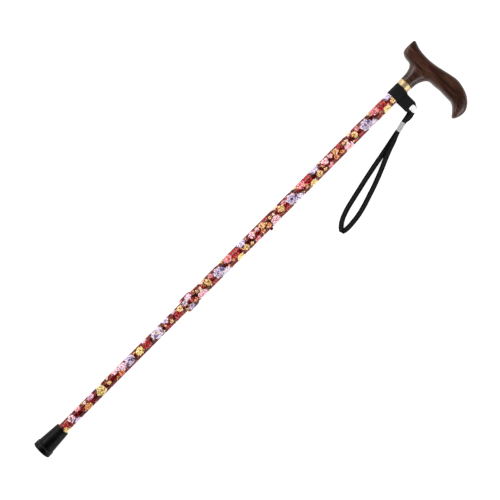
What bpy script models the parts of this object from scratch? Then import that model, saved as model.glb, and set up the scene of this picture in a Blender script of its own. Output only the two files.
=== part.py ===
"""Height-adjustable walking cane with one foot, lying on its side.

Sizes are in millimetres in the cane's own frame and become metres through MM:
x points from the shaft to the grip end of the handle, y to the far side, and
z runs up the shaft from the foot's sole.  The root empty lays the cane down,
with its shaft along the world's X axis and the handle flat on the ground.
"""
import math

import bmesh
import bpy
from mathutils import Matrix, Vector

MM = 0.001
AXIS_HEIGHT = 14.7            # half thickness of the handle, and radius of the foot
SEGMENTS = 32
SMALL_SEGMENTS = 16
CORNER_ANGLE = 35.0           # degrees between two faces that stay a sharp edge
FIT = 0.1                     # radial play of sliding fits
GAP = 0.3                     # gap between pieces that touch
POLE = 0.0                    # radius of a profile point that lies on the axis

FOOT_HEIGHT = 45.1
FOOT_TOP_RADIUS = 10.9
FOOT_CONE_RADIUS = 13.5
FOOT_RING_HEIGHT = 10.3
FOOT_BORE_FLOOR = 8.0
SOLE_RADIUS = 13.8
TREAD_DEPTH = 1.5
TREAD_GROOVES = ((6.0, 7.4), (9.2, 10.6))
WASHER_THICKNESS = 1.5
WASHER_BORE = 3.0             # radius

LOWER_RADIUS = 8.0
LOWER_WALL = 1.2
LOWER_START = FOOT_BORE_FLOOR + WASHER_THICKNESS + 2 * GAP
LOWER_END = 490.5
GLIDE_SPIGOT = 8.0            # how far the glide cap reaches into the lower tube
GLIDE_RIM = 4.0               # how far it stands above it
GLIDE_WALL = 1.4
UPPER_RADIUS = 9.5
UPPER_WALL = 0.9
UPPER_START = 319.1
UPPER_END = 758.5
BUSH_SPIGOT = 18.0            # how far the bush reaches into the upper tube

BUTTON_HEIGHT = 469.3
BUTTON_RADIUS = 2.6
BUTTON_STAND_OUT = 3.0
BUTTON_HOLE_RADIUS = 3.0
BUTTON_FLANGE_RADIUS = 3.8
BUTTON_FLANGE_TOP = 5.3
LEG_TOP = 4.2                 # outer face of the spring leg that carries the button
SPRING_HALF_WIDTH = 2.1
SPRING_THICKNESS = 0.5
SPRING_REACH = 38.0           # from the button down to the spring's bend
SPRING_TIP = 6.0              # from the button up to the ends of its legs
BEND_HALF = 1.2               # half width of the bend, and its height
HOLE_PITCH = 25.0
HOLES_EACH_WAY = 3

NUT_START = 297.0
NUT_HEIGHT = 22.0
NUT_RADIUS = 11.7
THREAD_RADIUS = 9.2
THREAD_START = 302.5
SPLIT_RING_START = 298.7
SPLIT_RING_SLOT = (1.6, 6.0, 10.0)      # width, and a depth and a height that cut right through

BAND_START = 729.9
BAND_WIDTH = 20.4
BAND_THICKNESS = 0.8
TAB_END = 38.4
TAB_TOP = 749.1               # the tab is a little narrower than the band
TAB_GAP = 5.0                 # between the tab's two layers, filled by the cord's ends
TAB_CHAMFER = (10.4, 5.6)
SNAP_X, SNAP_Z = 33.4, 740.1
SNAP_SIDE = 10.0
SNAP_HOLE_RADIUS = 1.7

RING_START = 750.8
RING_HEIGHT = 8.4
RING_RADIUS = 10.4
HANDLE_START = 759.5
HANDLE_NECK_RADIUS = 11.0
STUD_RADIUS = 4.0
STUD_START = 739.5
STUD_END = 792.5
PLUG_START = 726.5
PLUG_TOP = 758.3
PIN_RADIUS = 1.2
PIN_HEIGHT = 734.1            # below the stud and hidden by the band

CORD_WIDTH = 7.6
CORD_THICKNESS = 2.2
CORD_CORNER = 0.6
CORD_LAYER = 1.2              # height of each stacked layer from the pair's middle
CORD_POINTS = 96
CORD_ORIGIN = (33.4, 733.8)   # where the cord leaves the tab, in x and z
CORD_ANGLE = 15.45            # degrees that the cord points away from the shaft
CRIMP_LENGTH = 15.5
CRIMP_WALL = 0.5
CRIMP_CORNER = 0.7
CRIMP_TOP = (17.0, 0.45, 11.0)
CRIMP_BOTTOM = (32.0, 1.15, 6.05)

# Where the handle reaches: beak end, grip end and the crest of the grip.
BEAK_X, GRIP_X, CREST_Z = -36.9, 90.5, 816.0

# The handle's bar at each x: its underside, its top, and its half thickness.
BAR = (
    (-36.9, 793.5, 809.5, 9.5), (-36.2, 791.0, 812.1, 11.2), (-34.5, 788.5, 813.2, 12.2),
    (-30.0, 785.9, 811.7, 13.0), (-24.0, 784.6, 809.4, 13.4), (-16.0, 784.3, 807.8, 13.8),
    (-6.0, 784.1, 807.1, 14.1), (4.0, 784.2, 807.5, 14.4), (14.0, 784.7, 808.9, 14.6),
    (24.0, 785.7, 811.1, 14.7), (31.0, 785.8, 812.7, 14.7), (37.0, 786.4, 814.1, 14.7),
    (43.0, 787.0, 815.2, 14.7), (50.0, 786.7, 816.0, 14.7), (56.0, 786.5, 815.3, 14.6),
    (62.0, 786.5, 814.0, 14.4), (67.0, 785.8, 812.6, 14.1), (72.0, 782.6, 810.6, 13.7),
    (76.5, 778.3, 808.1, 13.1), (80.0, 774.5, 805.6, 12.4), (83.0, 772.2, 803.1, 11.5),
    (86.0, 773.2, 799.5, 10.2), (88.8, 778.0, 795.2, 8.0), (90.5, 783.5, 790.0, 4.5),
)

# The handle's neck at each z: its reach towards the beak and the grip, and its half thickness.
NECK = (
    (HANDLE_START, 10.9, 11.1, HANDLE_NECK_RADIUS), (766.5, 10.9, 11.4, 11.1),
    (771.5, 11.3, 12.4, 11.4), (775.0, 12.3, 13.9, 11.8), (778.0, 13.2, 15.4, 12.2),
    (781.0, 14.9, 17.2, 12.6), (784.0, 18.5, 20.3, 13.0), (786.5, 26.5, 25.5, 13.2),
    (791.5, 29.0, 28.5, 12.0),
)

# The cord's route as (a, b, height): a along the strap, b towards the shaft, and
# the height above the ground.  It runs down from the tab, round the loop, and back.
CORD_ROUTE = (
    (-1.5, -3.2, 15.9), (2.0, -3.2, 15.9), (5.5, -3.1, 15.7), (9.0, -2.6, 14.95),
    (12.2, -1.1, 13.85), (15.0, 0.36, 12.92), (16.6, 0.43, 12.4), (24.5, 0.8, 9.79),
    (32.4, 1.17, 7.18), (34.0, 1.24, 6.65), (40.0, 0.6, 5.35), (46.0, -0.3, 4.6),
    (52.0, -0.9, 4.2), (60.0, -1.4, 3.9), (69.0, -2.4, 3.75), (77.0, -3.5, 3.4),
    (86.0, -4.6, 2.2), (96.0, -5.9, 1.35), (108.0, -7.2, 1.25), (122.0, -8.3, 1.25),
    (135.0, -8.9, 1.25), (152.0, -9.6, 1.25), (168.0, -9.1, 1.25), (180.0, -7.5, 1.25),
    (189.0, -5.9, 1.25), (195.6, -3.6, 1.25), (199.4, 0.8, 1.25), (195.6, 5.2, 1.25),
    (189.0, 7.6, 1.25), (180.0, 9.2, 1.25), (168.0, 9.9, 1.25), (152.0, 9.4, 1.25),
    (135.0, 8.5, 1.25), (122.0, 7.9, 1.25), (108.0, 7.0, 1.25), (96.0, 6.2, 1.25),
    (86.0, 5.5, 1.25), (77.0, 4.9, 1.25), (69.0, 4.2, 1.25), (60.0, 3.1, 1.3),
    (52.0, 2.5, 1.45), (46.0, 2.1, 1.8), (40.0, 1.6, 2.65), (34.0, 1.24, 4.13),
    (32.4, 1.17, 4.65), (24.5, 0.8, 7.26), (16.6, 0.43, 9.87), (15.0, 0.36, 10.4),
    (12.2, 0.1, 11.35), (9.0, -0.2, 12.4), (5.5, -0.3, 13.2), (2.0, -0.3, 13.5),
    (-1.5, -0.3, 13.5),
)

BLACK = (0.012, 0.012, 0.013)
STEEL = (0.62, 0.63, 0.65)
PRINT = (0.45, 0.06, 0.09)


def clear_scene():
    for old in list(bpy.data.objects):
        bpy.data.objects.remove(old, do_unlink=True)


def collection(name):
    made = bpy.data.collections.new(name)
    bpy.context.scene.collection.children.link(made)
    return made


def empty(name, parent, place=(0.0, 0.0, 0.0)):
    made = bpy.data.objects.new(name, None)
    made.empty_display_size = 0.02
    made.parent = parent
    made.location = Vector(place) * MM
    PARTS.objects.link(made)
    return made


def paint(made, colour, roughness=0.5, metallic=0.0):
    material = bpy.data.materials.new(made.name)
    material.use_nodes = True
    surface = material.node_tree.nodes["Principled BSDF"]
    surface.inputs["Base Color"].default_value = (*colour, 1.0)
    surface.inputs["Roughness"].default_value = roughness
    surface.inputs["Metallic"].default_value = metallic
    made.data.materials.append(material)


def add(name, data, parent, place=(0.0, 0.0, 0.0), where=None):
    """Put new data in the scene as a named object, a part unless where says otherwise."""
    made = bpy.data.objects.new(name, data)
    made.parent = parent
    made.location = Vector(place) * MM
    (where or PARTS).objects.link(made)
    return made


def mesh_of(name, build):
    """A mesh filled by a function that is handed a bmesh, in millimetres."""
    shape = bmesh.new()
    build(shape)
    bmesh.ops.scale(shape, vec=(MM, MM, MM), verts=shape.verts)
    mesh = bpy.data.meshes.new(name)
    shape.to_mesh(mesh)
    shape.free()
    return mesh


def shaded(made):
    """Swap a piece's modifiers for their result, smooth but for its corners."""
    bpy.context.view_layer.update()
    seen = made.evaluated_get(bpy.context.evaluated_depsgraph_get())
    made.data = bpy.data.meshes.new_from_object(seen)
    made.modifiers.clear()
    made.data.shade_smooth()
    made.data.set_sharp_from_angle(angle=math.radians(CORNER_ANGLE))
    return made


def turned(name, profile, parent, place=(0.0, 0.0, 0.0), segments=SEGMENTS, closed=False, where=None):
    """Turn (radius, height) points about z.  They run down the outer side."""
    def outline(shape):
        points = [shape.verts.new((radius, 0.0, height)) for radius, height in profile]
        for start, end in zip(points, points[1:] + points[:1] if closed else points[1:]):
            shape.edges.new((start, end))

    made = add(name, mesh_of(name, outline), parent, place, where)
    screw = made.modifiers.new("turn", "SCREW")
    screw.axis = "Z"
    screw.steps = screw.render_steps = segments
    screw.use_merge_vertices = True
    screw.merge_threshold = 0.00001
    return shaded(made)


def tube(name, outer, inner, start, end, parent, segments=SEGMENTS, where=None):
    profile = ((outer, end), (outer, start), (inner, start), (inner, end))
    return turned(name, profile, parent, segments=segments, closed=True, where=where)


def rod(name, radius, start, end, parent, segments=SMALL_SEGMENTS, where=None):
    profile = ((POLE, end), (radius, end), (radius, start), (POLE, start))
    return turned(name, profile, parent, segments=segments, where=where)


def outline_prism(name, outlines, half, parent, place=(0.0, 0.0, 0.0), turn=None, where=None):
    """Extrude flat outlines of (x, y) points, holes after the first, by half each way."""
    curve = bpy.data.curves.new(name, "CURVE")
    curve.dimensions = "2D"
    curve.fill_mode = "BOTH"
    curve.extrude = half * MM
    for points in outlines:
        line = curve.splines.new("POLY")
        line.points.add(len(points) - 1)
        for point, (x, y) in zip(line.points, points):
            point.co = (x * MM, y * MM, 0.0, 1.0)
        line.use_cyclic_u = True
    made = add(name, curve, parent, place, where)
    if turn:
        made.rotation_euler = turn
    return made


def as_mesh(made):
    """Replace a curve object by a mesh object of the same shape and name."""
    bpy.context.view_layer.update()
    seen = made.evaluated_get(bpy.context.evaluated_depsgraph_get())
    mesh = bpy.data.meshes.new_from_object(seen)
    shape = bmesh.new()
    shape.from_mesh(mesh)
    bmesh.ops.remove_doubles(shape, verts=shape.verts, dist=0.000001)
    bmesh.ops.recalc_face_normals(shape, faces=shape.faces)
    shape.to_mesh(mesh)
    shape.free()
    name, parent, matrix = made.name, made.parent, made.matrix_world.copy()
    home = made.users_collection[0]
    bpy.data.objects.remove(made, do_unlink=True)
    solid = add(name, mesh, parent, where=home)
    solid.matrix_world = matrix
    return solid


def boolean(made, cutter, operation="DIFFERENCE"):
    cut = made.modifiers.new(operation.lower(), "BOOLEAN")
    cut.operation = operation
    cut.object = cutter
    cut.solver = "EXACT"
    cutter.hide_render = True
    cutter.display_type = "WIRE"


def side_drill(name, radius, reach, x, z, parent, where=None):
    """A rod that runs along x from the given start, at height z; a cutter by default."""
    drill = rod(name, radius, 0.0, reach, parent, where=where or GUIDES)
    drill.location = Vector((x, 0.0, z)) * MM
    drill.rotation_euler = (0.0, math.radians(90.0), 0.0)
    return drill


def loft(name, rings, parent, where=None):
    """Skin a row of equal rings of points, and close both ends."""
    def build(shape):
        rows = [[shape.verts.new(point) for point in ring] for ring in rings]
        count = len(rows[0])
        for low, high in zip(rows, rows[1:]):
            for i in range(count):
                j = (i + 1) % count
                shape.faces.new((low[i], low[j], high[j], high[i]))
        shape.faces.new(rows[0])
        shape.faces.new(list(reversed(rows[-1])))
        bmesh.ops.recalc_face_normals(shape, faces=shape.faces)

    return shaded(add(name, mesh_of(name, build), parent, where=where))


def superellipse(count, power):
    """Unit points round a rounded square; power 2 is a circle."""
    points = []
    for i in range(count):
        angle = 2.0 * math.pi * i / count
        c, s = math.cos(angle), math.sin(angle)
        points.append((
            math.copysign(abs(c) ** (2.0 / power), c),
            math.copysign(abs(s) ** (2.0 / power), s),
        ))
    return points


def make_foot(parent):
    sole = [(SOLE_RADIUS, 0.0)]
    for inner, outer in reversed(TREAD_GROOVES):
        sole += [(outer, 0.0), (outer, TREAD_DEPTH), (inner, TREAD_DEPTH), (inner, 0.0)]
    bore = LOWER_RADIUS + FIT
    profile = [
        (POLE, FOOT_BORE_FLOOR), (bore, FOOT_BORE_FLOOR), (bore, FOOT_HEIGHT),
        (FOOT_TOP_RADIUS - 0.6, FOOT_HEIGHT), (FOOT_TOP_RADIUS, FOOT_HEIGHT - 0.8),
        (FOOT_CONE_RADIUS, FOOT_RING_HEIGHT + 1.0), (FOOT_CONE_RADIUS + 0.1, FOOT_RING_HEIGHT + 0.4),
        (AXIS_HEIGHT - 0.4, FOOT_RING_HEIGHT), (AXIS_HEIGHT, FOOT_RING_HEIGHT - 0.7),
        (AXIS_HEIGHT, 1.1), (AXIS_HEIGHT - 0.3, 0.3), *sole, (POLE, 0.0),
    ]
    foot = turned("rubber_tip", profile, parent)
    paint(foot, BLACK, 0.75)
    start = FOOT_BORE_FLOOR + GAP
    washer = tube("tip_washer", LOWER_RADIUS - GAP, WASHER_BORE, start, start + WASHER_THICKNESS, parent)
    paint(washer, STEEL, 0.4, 1.0)


def make_lower_tube(parent):
    inner = LOWER_RADIUS - LOWER_WALL
    shaft = tube("lower_tube", LOWER_RADIUS, inner, LOWER_START, LOWER_END, parent)
    drill = side_drill("lower_hole", BUTTON_HOLE_RADIUS, 1.5 * LOWER_RADIUS, 0.0, BUTTON_HEIGHT, parent)
    boolean(shaft, drill)
    paint(shaft, PRINT, 0.25, 0.3)
    spigot, rim = inner - FIT, UPPER_RADIUS - UPPER_WALL - FIT
    bore = spigot - GLIDE_WALL
    top, shoulder, foot = LOWER_END + GLIDE_RIM, LOWER_END + GAP, LOWER_END - GLIDE_SPIGOT
    profile = (
        (rim - 0.4, top), (rim, top - 0.6), (rim, shoulder), (spigot, shoulder),
        (spigot, foot), (bore, foot), (bore, top),
    )
    glide = turned("glide_cap", profile, parent, closed=True)
    paint(glide, (0.75, 0.75, 0.72), 0.5)


def make_spring(parent):
    """A V of spring strip inside the lower tube, its bend towards the foot."""
    thick = SPRING_THICKNESS
    leg = LEG_TOP
    wall = LOWER_WALL - LOWER_RADIUS + 2.0 * thick
    bend, end = BUTTON_HEIGHT - SPRING_REACH, BUTTON_HEIGHT + SPRING_TIP
    straight = BUTTON_HEIGHT - SPRING_TIP
    middle = (leg + wall) / 2.0
    inside = BEND_HALF - 0.9 * thick
    outer = [(leg, end), (leg, straight), (middle + BEND_HALF, bend + BEND_HALF), (middle, bend),
             (middle - BEND_HALF, bend + BEND_HALF), (wall - thick, straight), (wall - thick, end)]
    inner = [(wall, end), (wall, straight), (middle - inside, bend + BEND_HALF + 0.3),
             (middle, bend + thick + 0.1), (middle + inside, bend + BEND_HALF + 0.3),
             (leg - thick, straight), (leg - thick, end)]
    spring = outline_prism("button_spring", [outer + inner], SPRING_HALF_WIDTH, parent,
                           turn=(math.radians(90.0), 0.0, 0.0))
    paint(spring, STEEL, 0.3, 1.0)


def make_button(parent):
    top = UPPER_RADIUS + BUTTON_STAND_OUT
    profile = (
        (POLE, top), (BUTTON_RADIUS * 0.55, top - 0.25), (BUTTON_RADIUS * 0.87, top - 0.9),
        (BUTTON_RADIUS, top - 1.9), (BUTTON_RADIUS, BUTTON_FLANGE_TOP),
        (BUTTON_FLANGE_RADIUS, BUTTON_FLANGE_TOP), (BUTTON_FLANGE_RADIUS, LEG_TOP + GAP),
        (POLE, LEG_TOP + GAP),
    )
    button = turned("snap_button", profile, parent, segments=24)
    button.rotation_euler = (0.0, math.radians(90.0), 0.0)
    paint(button, (0.12, 0.12, 0.13), 0.35, 0.8)


def make_upper_tube(parent):
    inner = UPPER_RADIUS - UPPER_WALL
    shaft = tube("upper_tube", UPPER_RADIUS, inner, UPPER_START, UPPER_END, parent)
    for step in range(-HOLES_EACH_WAY, HOLES_EACH_WAY + 1):
        place = BUTTON_HEIGHT + step * HOLE_PITCH
        name = f"upper_hole_{step + HOLES_EACH_WAY}"
        boolean(shaft, side_drill(name, BUTTON_HOLE_RADIUS, 1.5 * UPPER_RADIUS, 0.0, place, parent))
    paint(shaft, PRINT, 0.25, 0.3)
    return shaft


def make_guide_bush(parent):
    """A nylon bush in the upper tube's mouth, threaded below it for the nut."""
    bore = LOWER_RADIUS + FIT
    spigot = UPPER_RADIUS - UPPER_WALL - FIT
    top, shoulder = UPPER_START + BUSH_SPIGOT, UPPER_START - GAP
    profile = (
        (spigot, top), (spigot, shoulder), (THREAD_RADIUS, shoulder),
        (THREAD_RADIUS, THREAD_START), (bore, THREAD_START), (bore, top),
    )
    paint(turned("guide_bush", profile, parent, closed=True), (0.05, 0.05, 0.05), 0.5)


def make_split_ring(parent):
    """The cut ring that the nut squeezes on to the lower tube."""
    bore = LOWER_RADIUS + FIT
    top = THREAD_START - GAP
    profile = (
        (THREAD_RADIUS, top), (THREAD_RADIUS, SPLIT_RING_START + 1.2),
        (THREAD_RADIUS - 0.5, SPLIT_RING_START), (bore, SPLIT_RING_START), (bore, top),
    )
    ring = turned("split_ring", profile, parent, closed=True)
    slot = add("split_ring_slot", mesh_of("split_ring_slot", slot_block), parent, where=GUIDES)
    boolean(ring, slot)
    paint(ring, (0.7, 0.7, 0.68), 0.5)


def slot_block(shape):
    bmesh.ops.create_cube(shape, size=1.0)
    bmesh.ops.scale(shape, vec=SPLIT_RING_SLOT, verts=shape.verts)
    bmesh.ops.translate(shape, vec=(0.0, LOWER_RADIUS, SPLIT_RING_START), verts=shape.verts)


def make_nut(parent):
    top = NUT_START + NUT_HEIGHT
    thread = THREAD_RADIUS + FIT
    lip = LOWER_RADIUS + 2 * FIT
    profile = (
        (UPPER_RADIUS, top), (UPPER_RADIUS + 0.6, top - 0.3), (NUT_RADIUS - 0.5, top - 2.6),
        (NUT_RADIUS, top - 5.0), (NUT_RADIUS, NUT_START + 3.4), (NUT_RADIUS - 0.5, NUT_START + 1.6),
        (NUT_RADIUS - 1.8, NUT_START + 0.3), (NUT_RADIUS - 2.4, NUT_START), (lip, NUT_START),
        (lip, NUT_START + 1.0), (THREAD_RADIUS - 0.4, SPLIT_RING_START - 0.5),
        (thread, SPLIT_RING_START + 0.9), (thread, top),
    )
    paint(turned("lock_nut", profile, parent, closed=True), (0.62, 0.5, 0.6), 0.25, 0.3)


def make_top_fittings(parent):
    """The plug that the stud screws into, the pin that holds it, and the brass ring."""
    inner = UPPER_RADIUS - UPPER_WALL
    plug = tube("tube_top_plug", inner - FIT, STUD_RADIUS + FIT, PLUG_START, PLUG_TOP, parent)
    across = UPPER_RADIUS + 2.0
    hole = side_drill("pin_hole", PIN_RADIUS + FIT, 2.0 * across, -across, PIN_HEIGHT, parent)
    boolean(plug, hole)
    boolean(bpy.data.objects["upper_tube"], hole)
    paint(plug, (0.5, 0.36, 0.2), 0.6)
    reach = UPPER_RADIUS - GAP
    pin = side_drill("plug_pin", PIN_RADIUS, 2.0 * reach, -reach, PIN_HEIGHT, parent, PARTS)
    paint(pin, STEEL, 0.4, 1.0)
    stud = rod("handle_stud", STUD_RADIUS, STUD_START, STUD_END, parent, 24)
    paint(stud, STEEL, 0.4, 1.0)
    bore, top = UPPER_RADIUS + FIT, RING_START + RING_HEIGHT
    profile = (
        (RING_RADIUS - 0.3, top), (RING_RADIUS, top - 0.4), (RING_RADIUS, RING_START + 0.4),
        (RING_RADIUS - 0.3, RING_START), (bore, RING_START), (bore, top),
    )
    ring = turned("brass_ring", profile, parent, closed=True)
    paint(ring, (0.86, 0.6, 0.25), 0.2, 1.0)


def make_handle(parent):
    """A bar of rounded sections joined to a neck that flares into its underside."""
    section = superellipse(24, 2.6)
    bar_rings = []
    for x, low, top, half in BAR:
        middle, tall = (low + top) / 2.0, (top - low) / 2.0
        bar_rings.append([(x, half * c, middle + tall * s) for c, s in section])
    handle = loft("handle", bar_rings, parent)
    circle = superellipse(SEGMENTS, 2.0)
    neck_rings = []
    for z, beak, grip, half in NECK:
        middle, wide = (grip - beak) / 2.0, (grip + beak) / 2.0
        neck_rings.append([(middle + wide * c, half * s, z) for c, s in circle])
    neck = loft("handle_neck", neck_rings, parent, GUIDES)
    boolean(handle, neck, "UNION")
    bore = rod("stud_bore", STUD_RADIUS + FIT, HANDLE_START - 5.0, STUD_END + 1.0, parent, 24, GUIDES)
    boolean(handle, bore)
    paint(handle, (0.07, 0.028, 0.02), 0.35)


def offset_line(points, distance):
    """Points moved sideways, to the left of the line for a positive distance."""
    moved = []
    for i, point in enumerate(points):
        before = points[max(i - 1, 0)]
        after = points[min(i + 1, len(points) - 1)]
        along = (after - before).normalized()
        moved.append(point + Vector((-along.y, along.x)) * distance)
    return moved


def band_middle():
    """The strip's middle line: in along the tab, round the shaft, and out again."""
    wrap = UPPER_RADIUS + 0.15 + BAND_THICKNESS / 2.0
    layer = (TAB_GAP + BAND_THICKNESS) / 2.0
    turn_off = math.radians(52.0)
    leave = Vector((math.cos(turn_off), math.sin(turn_off))) * wrap
    lead = Vector((math.sin(turn_off), -math.cos(turn_off))) * 4.0
    land = Vector((18.0, layer))
    half = [Vector((TAB_END, layer)), Vector((29.0, layer))]
    steps = 6
    for i in range(steps):
        t = 1.0 - i / steps
        a, b, c, d = leave, leave + lead, land - Vector((5.0, 0.0)), land
        half.append(a * (1 - t) ** 3 + b * 3 * t * (1 - t) ** 2 + c * 3 * t * t * (1 - t) + d * t ** 3)
    arc_steps = 12
    for i in range(arc_steps + 1):
        angle = turn_off + (math.pi - turn_off) * i / arc_steps
        half.append(Vector((math.cos(angle), math.sin(angle))) * wrap)
    return half + [Vector((p.x, -p.y)) for p in reversed(half[:-1])]


def make_band(parent):
    middle = band_middle()
    inside = offset_line(middle, BAND_THICKNESS / 2.0)
    outside = offset_line(middle, -BAND_THICKNESS / 2.0)
    place = (0.0, 0.0, BAND_START + BAND_WIDTH / 2.0)
    outline = [tuple(p) for p in outside + inside[::-1]]
    band = as_mesh(outline_prism("strap_band", [outline], BAND_WIDTH / 2.0, parent, place))
    cut_x, cut_z = TAB_CHAMFER
    top, reach, step = BAND_START + BAND_WIDTH, 1.5 * UPPER_RADIUS, UPPER_RADIUS + 1.5
    face = [
        (-reach, BAND_START - 1.0), (TAB_END - cut_x, BAND_START - 1.0), (TAB_END - cut_x, BAND_START),
        (TAB_END, BAND_START + cut_z), (TAB_END, TAB_TOP - cut_z), (TAB_END - cut_x, TAB_TOP),
        (step + 1.5, TAB_TOP), (step, top), (step, top + 1.0), (-reach, top + 1.0),
    ]
    keep = as_mesh(outline_prism("tab_shape", [face], reach, parent,
                                 turn=(math.radians(90.0), 0.0, 0.0), where=GUIDES))
    boolean(band, keep, "INTERSECT")
    hole = rod("snap_hole", SNAP_HOLE_RADIUS, -TAB_GAP, TAB_GAP, parent, where=GUIDES)
    hole.location = Vector((SNAP_X, 0.0, SNAP_Z)) * MM
    hole.rotation_euler = (math.radians(-90.0), 0.0, 0.0)
    boolean(band, hole)
    paint(band, BLACK, 0.6)


def on_snap(made):
    """Stand a piece that was turned about z on the snap's own axis, back side up."""
    made.location = Vector((SNAP_X, 0.0, SNAP_Z)) * MM
    made.rotation_euler = (math.radians(-90.0), 0.0, 0.0)
    paint(made, (0.8, 0.8, 0.8), 0.2, 1.0)


def make_snap(parent):
    """A press stud: cap and socket on the near layer, stud and post on the far one."""
    inner = TAB_GAP / 2.0
    outer = inner + BAND_THICKNESS
    side = SNAP_SIDE / 2.0
    cap_rings = []
    for height, scale in ((outer + 0.1, 1.0), (outer + 1.1, 1.0), (outer + 1.7, 0.93), (outer + 1.9, 0.8)):
        cap_rings.append([(side * scale * c, side * scale * s, -height) for c, s in superellipse(24, 4.0)])
    cap = loft("snap_cap", cap_rings, parent)
    boolean(cap, rod("cap_stem", 1.3, -outer - 0.6, -inner + 0.7, cap, where=GUIDES), "UNION")
    on_snap(cap)
    on_snap(turned("snap_socket", (
        (3.4, -0.4), (3.6, -0.7), (3.6, 0.1 - inner), (1.6, 0.1 - inner), (1.6, 0.6 - inner),
        (2.6, 0.6 - inner), (2.6, -0.4),
    ), parent, segments=24, closed=True))
    on_snap(turned("snap_stud", (
        (3.6, inner - 0.1), (3.6, inner - 0.8), (2.3, inner - 0.8), (2.3, -0.9), (1.8, -1.3),
        (1.2, -1.3), (1.2, inner - 0.1),
    ), parent, segments=24, closed=True))
    on_snap(turned("snap_post", (
        (POLE, outer + 1.0), (3.4, outer + 1.0), (4.2, outer + 0.7), (4.2, outer + 0.1),
        (1.0, outer + 0.1), (1.0, -0.6), (POLE, -0.6),
    ), parent, segments=24))


def strap_place(a, b, height):
    """A point of the strap's own frame, in the cane's frame."""
    lean = math.radians(CORD_ANGLE)
    x = CORD_ORIGIN[0] + a * math.sin(lean) - b * math.cos(lean)
    z = CORD_ORIGIN[1] - a * math.cos(lean) - b * math.sin(lean)
    return Vector((x, AXIS_HEIGHT - height, z))


def smooth_route(points, count):
    """Evenly spaced points on a Catmull-Rom curve through the route's points."""
    fine = []
    steps = 24
    for i in range(len(points) - 1):
        a, b = points[max(i - 1, 0)], points[i]
        c, d = points[i + 1], points[min(i + 2, len(points) - 1)]
        for j in range(steps):
            t = j / steps
            fine.append(0.5 * (2 * b + (c - a) * t + (2 * a - 5 * b + 4 * c - d) * t * t
                               + (3 * b - a - 3 * c + d) * t ** 3))
    fine.append(points[-1])
    travelled = [0.0]
    for start, end in zip(fine, fine[1:]):
        travelled.append(travelled[-1] + (end - start).length)
    spaced, k = [], 0
    for i in range(count):
        want = travelled[-1] * i / (count - 1)
        while k < len(fine) - 2 and travelled[k + 1] < want:
            k += 1
        share = (want - travelled[k]) / (travelled[k + 1] - travelled[k])
        spaced.append(fine[k].lerp(fine[k + 1], share))
    return spaced


def rounded_box_outline(width, height, corner):
    """Eight points of a box with cut corners."""
    w, h = width / 2.0, height / 2.0
    return [
        (w, -h + corner), (w, h - corner), (w - corner, h), (corner - w, h),
        (-w, h - corner), (-w, corner - h), (corner - w, -h), (w - corner, -h),
    ]


def make_cord(parent, back):
    section = rounded_box_outline(CORD_WIDTH, CORD_THICKNESS, CORD_CORNER)
    profile = outline_prism("cord_profile", [section[::-1]], 0.0, parent, where=GUIDES)
    profile.data.fill_mode = "NONE"
    profile.hide_render = True
    curve = bpy.data.curves.new("strap_cord", "CURVE")
    curve.dimensions = "3D"
    curve.twist_mode = "Z_UP"
    curve.bevel_mode = "OBJECT"
    curve.bevel_object = profile
    curve.use_fill_caps = True
    line = curve.splines.new("POLY")
    route = smooth_route([strap_place(*point) for point in CORD_ROUTE], CORD_POINTS)
    line.points.add(len(route) - 1)
    for point, place in zip(line.points, route):
        # The curve's own z must be up for its twist, so it is made in the world's axes.
        point.co = (*(LAY_DOWN @ (place * MM)), 1.0)
    cord = add("strap_cord", curve, parent)
    cord.matrix_parent_inverse = back
    paint(cord, BLACK, 0.7)


def make_crimp(parent, back):
    wall = CRIMP_WALL
    wide, tall = CORD_WIDTH + 2 * GAP, 2 * CORD_LAYER + CORD_THICKNESS + 2 * GAP
    inner = rounded_box_outline(wide, tall, CRIMP_CORNER)
    outer = rounded_box_outline(wide + 2 * wall, tall + 2 * wall, CRIMP_CORNER + wall)
    crimp = outline_prism("crimp_sleeve", [outer, inner], CRIMP_LENGTH / 2.0, parent)
    ends = []
    for a, b, height in (CRIMP_TOP, CRIMP_BOTTOM):
        ends.append(LAY_DOWN @ (strap_place(a, b, height) * MM))
    along = (ends[1] - ends[0]).normalized()
    across = Vector((0.0, 0.0, 1.0)).cross(along).normalized()
    up = along.cross(across)
    turn = Matrix((across, up, along)).transposed().to_4x4()
    crimp.matrix_parent_inverse = back
    crimp.matrix_basis = Matrix.Translation((ends[0] + ends[1]) / 2.0) @ turn
    paint(crimp, STEEL, 0.3, 1.0)


def lay_down():
    """The cane's frame to the world's: z to +X, x to -Y and y to -Z, centred."""
    turn = Matrix(((0.0, 0.0, 1.0), (-1.0, 0.0, 0.0), (0.0, -1.0, 0.0))).to_4x4()
    centre = Vector((-CREST_Z / 2.0, (GRIP_X + BEAK_X) / 2.0, AXIS_HEIGHT)) * MM
    return Matrix.Translation(centre) @ turn


def main():
    root = empty("cane_root", None)
    root.matrix_world = LAY_DOWN
    lower = empty("height_slide", root)
    nut = empty("nut_axis", root)
    band = empty("band_axis", root)
    pivot = (SNAP_X, 0.0, SNAP_Z)
    strap = empty("strap_pivot", band, pivot)
    make_foot(lower)
    make_lower_tube(lower)
    make_spring(lower)
    make_button(empty("button_slide", lower, (0.0, 0.0, BUTTON_HEIGHT)))
    make_upper_tube(root)
    make_guide_bush(root)
    make_split_ring(nut)
    make_nut(nut)
    make_top_fittings(root)
    make_handle(root)
    make_band(band)
    make_snap(band)
    bpy.context.view_layer.update()
    make_cord(strap, strap.matrix_world.inverted())
    make_crimp(strap, strap.matrix_world.inverted())


clear_scene()
PARTS = collection("single_point_cane")
GUIDES = collection("cutters_and_guides")
LAY_DOWN = lay_down()
main()
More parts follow.
